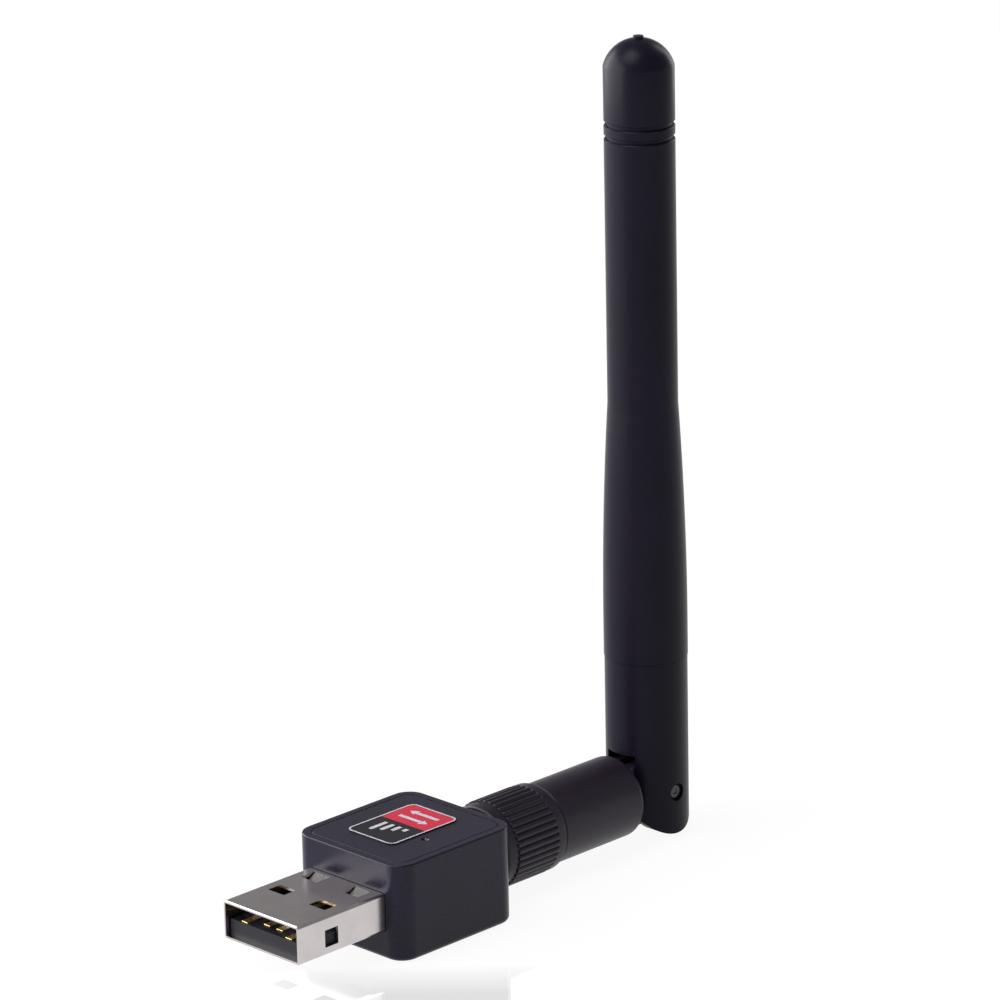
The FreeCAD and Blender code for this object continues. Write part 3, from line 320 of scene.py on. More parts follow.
def finishes():
    """Every finish by the record's slot name, made once."""
    if "case_plastic" in FINISHES:
        return FINISHES
    scene = bpy.context.scene
    plastic, plug, label = scene.adapter_plastic, scene.adapter_plug, scene.adapter_label
    FINISHES.update({
        # Spark-eroded ABS: a fine satin that breaks the lamps into broad soft patches.
        "case_plastic": moulded_plastic("abs_spark_eroded", plastic.case_colour, plastic.case_grain, 0.3,
                                        0.005 * MM, specular=0.2),
        # Finer moulded antenna plastic: a smoother satin with one long highlight down each side.
        "antenna_plastic": moulded_plastic("abs_satin_moulded", plastic.antenna_colour, plastic.antenna_grain,
                                           0.34, 0.004 * MM, specular=0.09),
        # The hinge's own moulding: the same plastic off a rougher tool, so a shade greyer.
        "hinge_plastic": moulded_plastic("abs_satin_moulded_grey", plastic.hinge_colour,
                                         plastic.antenna_grain, 0.4, 0.004 * MM, specular=0.22),
        # Printed polypropylene, three inks: flat colour, slightly glossier than the lid.
        "label_film": printed_film("polypropylene_black_ink", label.film_colour, 0.3),
        "label_red": printed_film("polypropylene_red_ink", label.red_colour, 0.34),
        "label_ink": printed_film("polypropylene_pale_ink", label.ink_colour, 0.4),
        # Polycarbonate light pipe, its dark colour partly a smoked tint and partly painted shade of the pit:
        # a dark glassy dot.
        "clear_plastic": clear_plastic("polycarbonate_smoked"),
        # Nickel-plated cold-rolled steel: bright with drawn lines that run along the plug.
        "plug_steel": plated_metal("steel_nickel_plated", plug.steel_colour, 0.2, 0.12 * MM),
        # Glass-filled PBT: a smooth dark blue-grey, darkened partly as painted shade for the inside of the
        # plug's windows.
        "plug_insulator_plastic": moulded_plastic("pbt_glass_filled", "#191a20", 0.2 * MM, 0.45, 0.003 * MM,
                                                  specular=0.2),
        # Gold flash over phosphor bronze: a warm polished strip.
        "gold_plating": plated_metal("phosphor_bronze_gold_plated", plug.gold_colour, 0.3, 0.08 * MM),
        "board_laminate": solder_mask("glass_epoxy_solder_mask"),
        # Epoxy moulding compound: dull black with a fine sandy face.
        "chip_resin": moulded_plastic("epoxy_moulding_compound", "#1b1b1d", 0.09 * MM, 0.6, 0.004 * MM),
        # Drawn nickel can of the crystal: softer and yellower than the plug.
        "crystal_can": plated_metal("nickel_silver_drawn", "#b8b3a6", 0.28, 0.1 * MM),
        # Diffusing epoxy of the light: milky, nearly white.
        "led_resin": moulded_plastic("epoxy_diffusing", "#e6e4d8", 0.15 * MM, 0.4, 0.002 * MM),
        # Fired ceramic of the capacitors: matt tan with a slight speckle.
        "capacitor_ceramic": moulded_plastic("ceramic_fired", "#b08a62", 0.07 * MM, 0.55, 0.003 * MM,
                                             ior=1.6),
        # Turned fluoropolymer: waxy white.
        "white_insulator": moulded_plastic("fluoropolymer_turned", "#ece9e2", 0.2 * MM, 0.5, 0.003 * MM,
                                           ior=1.38),
        # Silicone gasket: matt dark red-brown rubber.
        "gasket_rubber": moulded_plastic("silicone_rubber_moulded", "#4a211c", 0.1 * MM, 0.7, 0.004 * MM,
                                         ior=1.41),
        # Hardened spring steel: grey with cross lines from the wire drawing.
        "spring_steel": plated_metal("spring_steel_hardened", "#8d9094", 0.3, 0.06 * MM, (1, 1, 1)),
        # Extruded cable jacket: smooth black with a soft sheen along its length.
        "cable_jacket": moulded_plastic("vinyl_extruded", "#17171a", 0.25 * MM, 0.38, 0.003 * MM),
        # Turned brass under nickel: bright with fine rings from the lathe.
        "nut_brass": plated_metal("brass_nickel_plated", "#c6c0b2", 0.22, 0.08 * MM, (1, 0.1, 0.1)),
        # Acetal rod of the hinge pins: smoother and a touch greyer than the knuckle.
        "pin_plastic": moulded_plastic("acetal_turned", "#212127", 0.12 * MM, 0.3, 0.002 * MM, ior=1.48),
        # Plain drawn brass of the radiator: yellow with lengthwise lines.
        "radiator_brass": plated_metal("brass_drawn", "#c49a4a", 0.25, 0.1 * MM, (1, 1, 0.06)),
    })
    return FINISHES



# ---- mesh helpers
def new_piece(name, mesh_or_bmesh):
    """A linked object whose place is in its mesh."""
    mesh = mesh_or_bmesh
    if isinstance(mesh_or_bmesh, bmesh.types.BMesh):
        mesh = bpy.data.meshes.new(name)
        mesh_or_bmesh.to_mesh(mesh)
        mesh_or_bmesh.free()
    piece = bpy.data.objects.new(name, mesh)
    bpy.context.scene.collection.objects.link(piece)
    return piece


def smooth_by_angle(bm, angle):
    """Smooth faces, with every edge that turns more than the angle kept sharp."""
    for face in bm.faces:
        face.smooth = True
    for edge in bm.edges:
        edge.smooth = len(edge.link_faces) == 2 and edge.calc_face_angle(pi) < angle


def baked(piece):
    """The piece with its modifiers worked into its mesh and removed."""
    bpy.context.view_layer.update()
    graph = bpy.context.evaluated_depsgraph_get()
    mesh = bpy.data.meshes.new_from_object(piece.evaluated_get(graph), depsgraph=graph)
    piece.modifiers.clear()
    piece.data = mesh
    mesh.name = piece.name
    return piece


def rounded_edges(piece, width, segments=2):
    """Rounds the sharp edges and keeps the flat faces flat in their shading."""
    bevel = piece.modifiers.new("rounded_edges", "BEVEL")
    bevel.width, bevel.segments = width, segments
    bevel.limit_method, bevel.angle_limit = "ANGLE", SHARP_ANGLE
    bevel.use_clamp_overlap, bevel.harden_normals, bevel.miter_outer = True, True, "MITER_ARC"
    weighted = piece.modifiers.new("flat_faces_first", "WEIGHTED_NORMAL")
    weighted.keep_sharp = True
    return baked(piece)


def refined(node, name, width, segments=2):
    """A copy of a CAD node, merged and cleaned, with its sharp edges rounded as the tool leaves them."""
    bm = bmesh.new()
    bm.from_mesh(frame["nodes"][node].data)
    bmesh.ops.remove_doubles(bm, verts=bm.verts, dist=MERGE)
    bmesh.ops.dissolve_limit(bm, angle_limit=FLAT_ANGLE, verts=bm.verts, edges=bm.edges)
    smooth_by_angle(bm, SHARP_ANGLE)
    for layer in list(bm.loops.layers.float_vector):
        bm.loops.layers.float_vector.remove(layer)
    return rounded_edges(new_piece(name, bm), width, segments)


def lathed(name, profile, axis, centre, steps):
    """A closed outline of (along, radius) pairs spun round an axis; a radius of zero is a pole."""
    bm = bmesh.new()
    side, up = {"X": (Vector((0, 1, 0)), Vector((0, 0, 1))), "Y": (Vector((0, 0, 1)), Vector((1, 0, 0))),
                "Z": (Vector((1, 0, 0)), Vector((0, 1, 0)))}[axis]
    along = side.cross(up)
    rings = []
    for distance, radius in profile:
        if radius <= 0:
            rings.append([bm.verts.new(centre + along * distance)] * steps)
            continue
        turns = [2 * pi * i / steps for i in range(steps)]
        rings.append([bm.verts.new(centre + along * distance + (side * cos(t) + up * sin(t)) * radius)
                      for t in turns])
    for first, second in zip(rings, rings[1:] + rings[:1]):
        for i in range(steps):
            corners = [first[i], first[i - 1], second[i - 1], second[i]]
            unique = list(dict.fromkeys(corners))
            if len(unique) > 2:
                bm.faces.new(unique)
    bmesh.ops.recalc_face_normals(bm, faces=bm.faces)
    smooth_by_angle(bm, radians(30))
    return new_piece(name, bm)


def plate(name, outline, low, high, hole=None):
    """A flat outline, with an optional hole of as many corners, given a thickness."""
    bm = bmesh.new()
    loops = [[[bm.verts.new((x, y, z)) for x, y in ring] for z in (low, high)]
             for ring in [outline, hole] if ring]
    for under, over in loops:
        for i in range(len(under)):
            bm.faces.new((under[i - 1], under[i], over[i], over[i - 1]))
    for level in range(2):
        if hole:
            outer, inner = loops[0][level], loops[1][level]
            for i in range(len(outer)):
                bm.faces.new((outer[i - 1], outer[i], inner[i], inner[i - 1]))
        else:
            bm.faces.new(loops[0][level])
    bmesh.ops.recalc_face_normals(bm, faces=bm.faces)
    return new_piece(name, bm)


def rounded_outline(left, right, low, high, radii, steps=8):
    """A rectangle's corners, counter-clockwise from lower left, each with its own radius."""
    centres = [(left, low, 1, 1), (right, low, -1, 1), (right, high, -1, -1), (left, high, 1, -1)]
    points = []
    for quarter, ((x, y, dx, dy), radius) in enumerate(zip(centres, radii)):
        for i in range(steps + 1):
            t = pi + (quarter + i / steps) * pi / 2
            points.append((x + dx * radius + radius * cos(t), y + dy * radius + radius * sin(t)))
    return points


def arc(start, end, bulge_radius, steps, outward=1):
    """Points from start to end along an arc of that radius, both ends included."""
    (x0, y0), (x1, y1) = start, end
    half = sqrt((x1 - x0) ** 2 + (y1 - y0) ** 2) / 2
    rise = sqrt(max(bulge_radius ** 2 - half ** 2, 0.0))
    nx, ny = -(y1 - y0) / (2 * half) * outward, (x1 - x0) / (2 * half) * outward
    cx, cy = (x0 + x1) / 2 + nx * rise, (y0 + y1) / 2 + ny * rise
    a0, a1 = atan2(y0 - cy, x0 - cx), atan2(y1 - cy, x1 - cx)
    turn = (a1 - a0 + pi) % (2 * pi) - pi
    return [(cx + bulge_radius * cos(a0 + turn * i / steps), cy + bulge_radius * sin(a0 + turn * i / steps))
            for i in range(steps + 1)]


def finish_piece(piece, body, slot, nodes=(), finish=None):
    """Gives the piece its finish and its body, and hides the CAD nodes that it stands for."""
    piece.data.materials.clear()
    piece.data.materials.append(finishes()[finish or slot])
    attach(piece, body)
    if nodes:
        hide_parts(*nodes)
    return piece


# ---- geometry nodes
def new_tree(name, inputs):
    """A geometry tree with named inputs, and its start and end nodes."""
    tree = bpy.data.node_groups.new(name, "GeometryNodeTree")
    tree.interface.new_socket("Geometry", in_out="INPUT", socket_type="NodeSocketGeometry")
    for label, kind in inputs.items():
        tree.interface.new_socket(label, in_out="INPUT", socket_type=f"NodeSocket{kind}")
    tree.interface.new_socket("Geometry", in_out="OUTPUT", socket_type="NodeSocketGeometry")
    return tree, add_node(tree, "NodeGroupInput").outputs


def end_tree(tree, geometry, material):
    """Realizes the result, gives it its finish and closes the tree."""
    real = add_node(tree, "GeometryNodeRealizeInstances", {"Geometry": geometry})
    coated = add_node(tree, "GeometryNodeSetMaterial", {"Geometry": real.outputs[0], "Material": material})
    add_node(tree, "NodeGroupOutput", {"Geometry": coated.outputs[0]})


def grown(piece, tree, sizes):
    """The piece after its tree has run with those sizes, as a plain mesh."""
    modifier = piece.modifiers.new(tree.name, "NODES")
    modifier.node_group = tree
    for item in tree.interface.items_tree:
        if item.item_type == "SOCKET" and item.in_out == "INPUT" and item.name in sizes:
            modifier[item.identifier] = sizes[item.name]
    return baked(piece)


RIDGE_POWER, RIDGE_SEED = 2.2, 7  # how narrow the flutes are, and the fixed seed of their unevenness


def knurl_tree(material):
    """Moves a lathed band's points inwards where the flutes are, each ridge a little higher or lower."""
    tree, given = new_tree("sleeve_flutes", {
        "Flutes": "Int", "Depth": "Float", "Wander": "Float",
        "Middle": "Float", "Half Length": "Float", "Least Radius": "Float"})
    place = add_node(tree, "GeometryNodeInputPosition").outputs[0]
    parts = add_node(tree, SEPARATE, {0: place}).outputs
    inward = add_node(tree, VECTOR, {0: place, 1: (0, -1, -1)}, operation="MULTIPLY").outputs[0]
    radius = add_node(tree, VECTOR, {0: inward}, operation="LENGTH").outputs["Value"]
    way = add_node(tree, VECTOR, {0: inward}, operation="NORMALIZE").outputs[0]
    angle = add_node(tree, MATH, {0: parts["Z"], 1: parts["Y"]}, operation="ARCTAN2").outputs[0]
    turn = add_node(tree, RANGE, {"Value": angle, "From Min": -pi, "From Max": pi}).outputs[0]
    ridge = add_node(tree, MATH, {0: turn, 1: given["Flutes"]}, operation="MULTIPLY").outputs[0]
    across = add_node(tree, MATH, {0: ridge, 1: 0.5}, operation="PINGPONG").outputs[0]
    slope = add_node(tree, RANGE, {"Value": across, "From Min": 0.5, "From Max": 0.0}).outputs[0]
    groove = add_node(tree, MATH, {0: slope, 1: RIDGE_POWER}, operation="POWER").outputs[0]
    which = add_node(tree, MATH, {0: ridge}, operation="FLOOR").outputs[0]
    chance = add_node(tree, "FunctionNodeRandomValue", {"ID": which, "Seed": RIDGE_SEED},
                      data_type="FLOAT").outputs[1]
    uneven = add_node(tree, MATH, {0: chance, 1: given["Wander"]}, operation="MULTIPLY").outputs[0]
    cut = add_node(tree, MATH, {0: groove, 1: given["Depth"], 2: uneven}, operation="MULTIPLY_ADD")
    band = add_node(tree, MATH, {0: parts["X"], 1: given["Middle"], 2: given["Half Length"]},
                    operation="COMPARE")
    outer = add_node(tree, MATH, {0: radius, 1: given["Least Radius"]}, operation="GREATER_THAN")
    chosen = add_node(tree, MATH, {0: band.outputs[0], 1: outer.outputs[0]}, operation="MULTIPLY")
    shift = add_node(tree, VECTOR, {0: way, "Scale": cut.outputs[0]}, operation="SCALE")
    moved = add_node(tree, "GeometryNodeSetPosition", {
        "Geometry": given["Geometry"], "Selection": chosen.outputs[0], "Offset": shift.outputs[0]})
    end_tree(tree, moved.outputs[0], material)
    return tree


def contacts_tree(material):
    """Lays one contact out as two long outer ones and two inner ones whose tips sit further back."""
    tree, given = new_tree("plug_contacts", {
        "Power Pitch": "Float", "Data Pitch": "Float", "Data Setback": "Float",
        "Tip End": "Float"})
    place = add_node(tree, "GeometryNodeInputPosition").outputs[0]
    parts = add_node(tree, SEPARATE, {0: place}).outputs
    tip = add_node(tree, MATH, {0: parts["X"], 1: given["Tip End"]}, operation="LESS_THAN").outputs[0]
    back = add_node(tree, COMBINE, {"X": given["Data Setback"]}).outputs[0]
    short = add_node(tree, "GeometryNodeSetPosition", {
        "Geometry": given["Geometry"], "Selection": tip, "Offset": back})
    joined = add_node(tree, "GeometryNodeJoinGeometry")
    for blade, pitch in ((given["Geometry"], "Power Pitch"), (short.outputs[0], "Data Pitch")):
        step = add_node(tree, COMBINE, {"Y": given[pitch]}).outputs[0]
        start = add_node(tree, VECTOR, {0: step, "Scale": -0.5}, operation="SCALE").outputs[0]
        line = add_node(tree, "GeometryNodeMeshLine", {"Count": 2, "Start Location": start, "Offset": step})
        placed = add_node(tree, "GeometryNodeInstanceOnPoints", {
            "Points": line.outputs[0], "Instance": blade})
        tree.links.new(placed.outputs[0], joined.inputs[0])
    end_tree(tree, joined.outputs[0], material)
    return tree


def bars_tree(material):
    """Repeats one bar along a row, each a step taller than the last."""
    tree, given = new_tree("label_bars", {
        "Count": "Int", "Pitch": "Float", "Growth": "Float",
        "Start": "Vector"})
    step = add_node(tree, COMBINE, {"Y": given["Pitch"]}).outputs[0]
    line = add_node(tree, "GeometryNodeMeshLine", {"Count": given["Count"], "Start Location": given["Start"],
                                                   "Offset": step})
    number = add_node(tree, "GeometryNodeInputIndex").outputs[0]
    grow = add_node(tree, MATH, {0: number, 1: given["Growth"], 2: 1.0}, operation="MULTIPLY_ADD")
    size = add_node(tree, COMBINE, {"X": grow.outputs[0], "Y": 1.0, "Z": 1.0}).outputs[0]
    placed = add_node(tree, "GeometryNodeInstanceOnPoints", {
        "Points": line.outputs[0], "Scale": size, "Instance": given["Geometry"]})
    end_tree(tree, placed.outputs[0], material)
    return tree


def cable_tree(material):
    """Sweeps a round section along a quarter turn, from the antenna down to the barrel."""
    tree, given = new_tree("cable_bend", {
        "Bend Radius": "Float", "Cable Radius": "Float", "Centre": "Vector"})
    path = add_node(tree, "GeometryNodeCurveArc", {
        "Resolution": 40, "Start Angle": 0.0, "Sweep Angle": pi / 2, "Radius": given["Bend Radius"]})
    section = add_node(tree, "GeometryNodeCurvePrimitiveCircle", {
        "Resolution": 24, "Radius": given["Cable Radius"]})
    tube = add_node(tree, "GeometryNodeCurveToMesh", {
        "Fill Caps": True, "Curve": path.outputs[0], "Profile Curve": section.outputs[0]})
    placed = add_node(tree, "GeometryNodeTransform", {
        "Rotation": (-pi / 2, 0.0, 0.0), "Geometry": tube.outputs[0], "Translation": given["Centre"]})
    joined = add_node(tree, "GeometryNodeMergeByDistance", {"Distance": MERGE, "Geometry": placed.outputs[0]})
    smooth = add_node(tree, "GeometryNodeSetShadeSmooth", {"Geometry": joined.outputs[0]})
    end_tree(tree, smooth.outputs[0], material)
    return tree


# ---- pieces
class ADAPTER_OT_case(bpy.types.Operator):
    """Makes the case and its lid from the CAD shells, with moulded edges"""

    bl_idname = "adapter.case"
    bl_label = "Case and lid"

    def execute(self, context):
        edge = context.scene.adapter_plastic.edge_round
        finish_piece(refined("lower_case", "case_shell", edge), "adapter", "case_plastic", ["lower_case"])
        finish_piece(refined("top_cover", "case_lid", edge), "adapter", "case_plastic", ["top_cover"])
        return {"FINISHED"}


class ADAPTER_OT_label(bpy.types.Operator):
    """Makes the printed label: film, red field, frame, rising bars and two arrows"""

    bl_idname = "adapter.label"
    bl_label = "Label"

    def execute(self, context):
        sizes = context.scene.adapter_label
        low, high = LABEL_LOW, LABEL_HIGH
        corner, line = sizes.corner, sizes.frame_width
        gap, ink = 0.04 * MM, 0.012 * MM
        top = high.z - ink
        film = rounded_outline(low.x, high.x, low.y, high.y, [corner] * 4)
        finish_piece(plate("label_film", film, low.z, top), "adapter", "label_film", ["top_label"])

        inset = 0.12 * MM
        outer = rounded_outline(low.x + inset, high.x - inset, low.y + inset, high.y - inset,
                                [corner - inset] * 4)
        deep = inset + line
        inner = rounded_outline(low.x + deep, high.x - deep, low.y + deep, high.y - deep, [corner - deep] * 4)
        frame_ring = plate("label_frame", outer, top, high.z, hole=inner)
        finish_piece(frame_ring, "adapter", "label_film", finish="label_ink")

        split = low.x + (high.x - low.x) * sizes.split
        deep += gap
        field = rounded_outline(split, high.x - deep, low.y + deep, high.y - deep,
                                [MERGE, corner - deep, corner - deep, MERGE])
        finish_piece(plate("label_red_field", field, top, high.z - ink / 2), "adapter", "label_film",
                     finish="label_red")

        bar_width, bar_length = 0.55 * MM, 0.75 * MM
        bar = rounded_outline(-bar_length, 0, -bar_width / 2, bar_width / 2, [0.1 * MM] * 4, 3)
        bars = plate("label_bars", bar, top, high.z)
        start = Vector((split - 0.9 * MM, (low.y + high.y) / 2 - 1.65 * MM, 0))
        bars = grown(bars, bars_tree(finishes()["label_ink"]),
                     {"Count": sizes.bars, "Pitch": 1.1 * MM, "Growth": 0.85, "Start": start})
        finish_piece(bars, "adapter", "label_film", finish="label_ink")

        middle = Vector(((split + high.x - deep) / 2, (low.y + high.y) / 2))
        shaft, head, reach, wing = 0.26 * MM, 0.62 * MM, 2.2 * MM, 1.0 * MM
        arrow = [(-shaft, -reach), (shaft, -reach), (shaft, reach - wing), (head, reach - wing), (0, reach),
                 (-head, reach - wing), (-shaft, reach - wing)]
        for side, name in ((1, "label_arrow_out"), (-1, "label_arrow_back")):
            points = [(middle.x + side * (x + 0.85 * MM), middle.y + side * y) for x, y in arrow]
            arrow_plate = plate(name, points, high.z - ink / 2, high.z)
            finish_piece(arrow_plate, "adapter", "label_film", finish="label_ink")
        return {"FINISHED"}


class ADAPTER_OT_window(bpy.types.Operator):
    """Makes the light pipe, whose top is a small hollow in the lid"""

    bl_idname = "adapter.window"
    bl_label = "Light window"

    def execute(self, context):
        low, high = PIPE_LOW, PIPE_HIGH
        centre = Vector(((low.x + high.x) / 2, (low.y + high.y) / 2, 0))
        head, rod, hollow = (high.x - low.x) / 2, 0.45 * MM, 0.3 * MM
        ledge = high.z - 1.2 * MM
        profile = [(low.z, 0), (low.z, rod), (ledge - 0.6 * MM, rod), (ledge - 0.6 * MM, head), (ledge, head),
                   (ledge, rod), (high.z - 0.05 * MM, rod), (high.z - 0.08 * MM, rod * 0.92),
                   (high.z - hollow * 0.8, rod * 0.6), (high.z - hollow, rod * 0.3), (high.z - hollow, 0)]
        window = lathed("light_window", profile, "Z", centre, 32)
        finish_piece(window, "adapter", "clear_plastic", ["led_light_pipe"])
        return {"FINISHED"}


class ADAPTER_OT_plug(bpy.types.Operator):
    """Makes the steel plug shell and the insulator inside it"""

    bl_idname = "adapter.plug"
    bl_label = "Plug shell and insulator"

    def execute(self, context):
        width = context.scene.adapter_plug.sheet_round
        finish_piece(refined("usb_shell", "plug_shell", width), "adapter", "plug_steel", ["usb_shell"])
        finish_piece(refined("usb_insulator", "plug_insulator_block", width), "adapter",
                     "plug_insulator_plastic", ["usb_insulator"])
        return {"FINISHED"}


class ADAPTER_OT_contacts(bpy.types.Operator):
    """Makes the four gold contacts from one blade"""

    bl_idname = "adapter.contacts"
    bl_label = "Contacts"

    def execute(self, context):
        sizes = context.scene.adapter_plug
        bm = bmesh.new()
        bm.from_mesh(frame["nodes"]["usb_contact_ground"].data)
        bmesh.ops.remove_doubles(bm, verts=bm.verts, dist=MERGE)
        bmesh.ops.dissolve_limit(bm, angle_limit=FLAT_ANGLE, verts=bm.verts, edges=bm.edges)
        bmesh.ops.translate(bm, verts=bm.verts, vec=(0, -(POWER_LOW.y + POWER_HIGH.y) / 2, 0))
        blade = rounded_edges(new_piece("plug_contacts", bm), 0.05 * MM, 3)
        blade = grown(blade, contacts_tree(finishes()["gold_plating"]),
                      {"Power Pitch": sizes.power_pitch, "Data Pitch": sizes.data_pitch,
                       "Data Setback": DATA_LOW.x - POWER_LOW.x, "Tip End": (POWER_LOW.x + POWER_HIGH.x) / 2})
        nodes = ["usb_contact_vbus", "usb_contact_data_minus", "usb_contact_data_plus", "usb_contact_ground"]
        finish_piece(blade, "adapter", "gold_plating", nodes)
        return {"FINISHED"}


class ADAPTER_OT_sleeve(bpy.types.Operator):
    """Makes the knurled sleeve with its flutes"""

    bl_idname = "adapter.sleeve"
    bl_label = "Knurled sleeve"

    def execute(self, context):
        sizes = context.scene.adapter_sleeve
        start, end = SLEEVE_LOW.x, SLEEVE_HIGH.x
        ridge = SLEEVE_HIGH.y
        collar = ridge - 0.25 * MM
        rim = ridge - sizes.flute_depth / 4
        bevel, opening, pocket = 0.35 * MM, 2.8 * MM, 4.42 * MM
        knurl, knurl_end = start + sizes.collar, start + sizes.collar + sizes.knurl
        seat = end - 0.7 * MM
        profile = [(start, pocket), (start, collar - bevel)]
        profile += arc((start, collar - bevel), (start + bevel, collar), bevel, 5, -1)[1:]
        profile += [(knurl - 0.02 * MM, collar), (knurl, collar + 0.02 * MM), (knurl, ridge - 0.06 * MM)]
        slices = 24
        for i in range(slices + 1):
            x = knurl + 0.06 * MM + (knurl_end - knurl - 0.12 * MM) * i / slices
            profile.append((x, ridge))
        profile += [(knurl_end, ridge - 0.06 * MM), (knurl_end, rim)]
        profile += arc((end - bevel, rim), (end, rim - bevel), bevel, 5, -1)
        profile += [(end, opening), (seat, opening), (seat, pocket)]
        sleeve = lathed("knurled_grip", profile, "X", Vector((0, 0, 0)), sizes.flutes * 10)
        sleeve = grown(sleeve, knurl_tree(finishes()["hinge_plastic"]),
                       {"Flutes": sizes.flutes, "Depth": sizes.flute_depth, "Wander": sizes.wander,
                        "Middle": (knurl + knurl_end) / 2 - 0.01 * MM, "Half Length": sizes.knurl / 2,
                        "Least Radius": collar})
        bm = bmesh.new()
        bm.from_mesh(sleeve.data)
        smooth_by_angle(bm, radians(28))
        bm.to_mesh(sleeve.data)
        bm.free()
        finish_piece(sleeve, "screw_nut", "antenna_plastic", ["knurled_sleeve"], "hinge_plastic")
        return {"FINISHED"}


class ADAPTER_OT_hinge(bpy.types.Operator):
    """Makes the swivel barrel and the antenna's knuckle from the CAD shapes, with moulded edges"""

    bl_idname = "adapter.hinge"
    bl_label = "Barrel and knuckle"

    def execute(self, context):
        edge = context.scene.adapter_plastic.edge_round
        finish_piece(refined("swivel_barrel", "barrel_with_tongue", edge), "barrel", "antenna_plastic",
                     ["swivel_barrel"], "hinge_plastic")
        finish_piece(refined("antenna_knuckle", "knuckle_fork", edge), "antenna", "antenna_plastic",
                     ["antenna_knuckle"])
        return {"FINISHED"}


class ADAPTER_OT_pins(bpy.types.Operator):
    """Makes the two hinge pins, with a shallow dimple from the press in each outer end"""

    bl_idname = "adapter.pins"
    bl_label = "Hinge pins"

    def execute(self, context):
        radius = (PIN_HIGH.x - PIN_LOW.x) / 2
        edge, dimple, sink = 0.15 * MM, 0.35 * MM, 0.12 * MM
        inner, outer = PIN_LOW.y, PIN_HIGH.y
        for name, node, side in (("hinge_pin_a", "hinge_pin_left", 1),
                                 ("hinge_pin_b", "hinge_pin_right", -1)):
            profile = [(side * inner, 0), (side * inner, radius - edge), (side * (inner + edge), radius),
                       (side * (outer - edge), radius), (side * outer, radius - edge), (side * outer, dimple),
                       (side * (outer - sink), dimple * 0.6), (side * (outer - sink), 0)]
            pin = lathed(name, profile, "Y", Vector((PIN_X, 0, 0)), 48)
            finish_piece(pin, "antenna", "pin_plastic", [node])
        return {"FINISHED"}


class ADAPTER_OT_radome(bpy.types.Operator):
    """Makes the tapered tube with its ring grooves, domed tip and moulding nub"""

    bl_idname = "adapter.radome"
    bl_label = "Radome"

    def execute(self, context):
        sizes = context.scene.adapter_antenna
        foot, tube = sizes.foot_radius, sizes.tube_radius
        low, high = RADOME_LOW.z, RADOME_HIGH.z
        bore, spigot, seat = 3.2 * MM, 4.05 * MM, low + 3.55 * MM
        soft = 0.08 * MM
        drop, rise = foot - tube, sizes.taper_end - sizes.taper_start
        taper = (drop ** 2 + rise ** 2) / (2 * drop)
        profile = [(low, foot - soft), (low + soft, foot)]
        profile += arc((sizes.taper_start, foot), (sizes.taper_end, tube), taper, 32, -1)
        for groove in (sizes.groove_low, sizes.groove_high):
            near, far = groove - sizes.groove_width / 2, groove + sizes.groove_width / 2
            floor = tube - sizes.groove_depth
            profile += [(near - soft, tube), (near, tube - soft), (near, floor), (far, floor),
                        (far, tube - soft), (far + soft, tube)]
        # The dome leaves the tube on a tangent-softened shoulder and meets the nub near the axis.
        crown = sizes.dome_start + sizes.dome_height
        dome = (tube ** 2 + sizes.dome_height ** 2) / (2 * sizes.dome_height)
        nub = 0.6 * MM
        level = crown - dome + sqrt(dome ** 2 - nub ** 2)
        profile += arc((sizes.dome_start, tube), (level, nub), dome, 28, -1)
        profile += [(high - 0.06 * MM, nub), (high, nub - 0.06 * MM), (high, 0)]
        end = crown - 1.6 * MM
        profile += [(end, 0), (end, bore / 2), (end - bore / 2, bore), (seat, bore), (seat, spigot),
                    (low, spigot)]
        radome = lathed("radome_tube", profile, "Z", Vector((PIN_X, 0, 0)), 128)
        finish_piece(radome, "antenna", "antenna_plastic", ["radome"])
        return {"FINISHED"}


class ADAPTER_OT_cable(bpy.types.Operator):
    """Makes the cable's quarter turn at the hinge"""

    bl_idname = "adapter.cable"
    bl_label = "Cable bend"

    def execute(self, context):
        sizes = context.scene.adapter_antenna
        start = Vector((BEND_LOW.x, 0, 0))
        end = Vector((BEND_LOW.x + sizes.bend_radius, 0, sizes.bend_radius))
        centre = Vector((start.x, 0, end.z))
        cable = grown(new_piece("cable_quarter_turn", bpy.data.meshes.new("cable_quarter_turn")),
                      cable_tree(finishes()["cable_jacket"]),
                      {"Bend Radius": sizes.bend_radius, "Cable Radius": sizes.cable_radius,
                       "Centre": centre})
        cable.data.materials.clear()
        cable.data.materials.append(finishes()["cable_jacket"])
        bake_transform(cable)
        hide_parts("coax_bend")
        return {"FINISHED"}


class ADAPTER_OT_inside(bpy.types.Operator):
    """Gives every CAD piece that stays its finish"""

    bl_idname = "adapter.inside"
    bl_label = "Inner pieces"

    def execute(self, context):
        slots = node_slots()
        for name, node in frame["nodes"].items():
            if node.hide_render:
                continue
            node.data.materials.clear()
            node.data.materials.append(finishes()[slots[name]])
        return {"FINISHED"}


def node_slots():
    """The record's slot that each CAD node wears."""
    known = {m.get("slot") for m in frame["record"].get("materials", [])}
    slots = {}
    for name, node in frame["nodes"].items():
        worn = [m.name.split(".")[0] for m in node.data.materials if m]
        if not worn or worn[0] not in known:
            raise RuntimeError(f"{name} wears no slot of the record: {worn}")
        slots[name] = worn[0]
    return slots


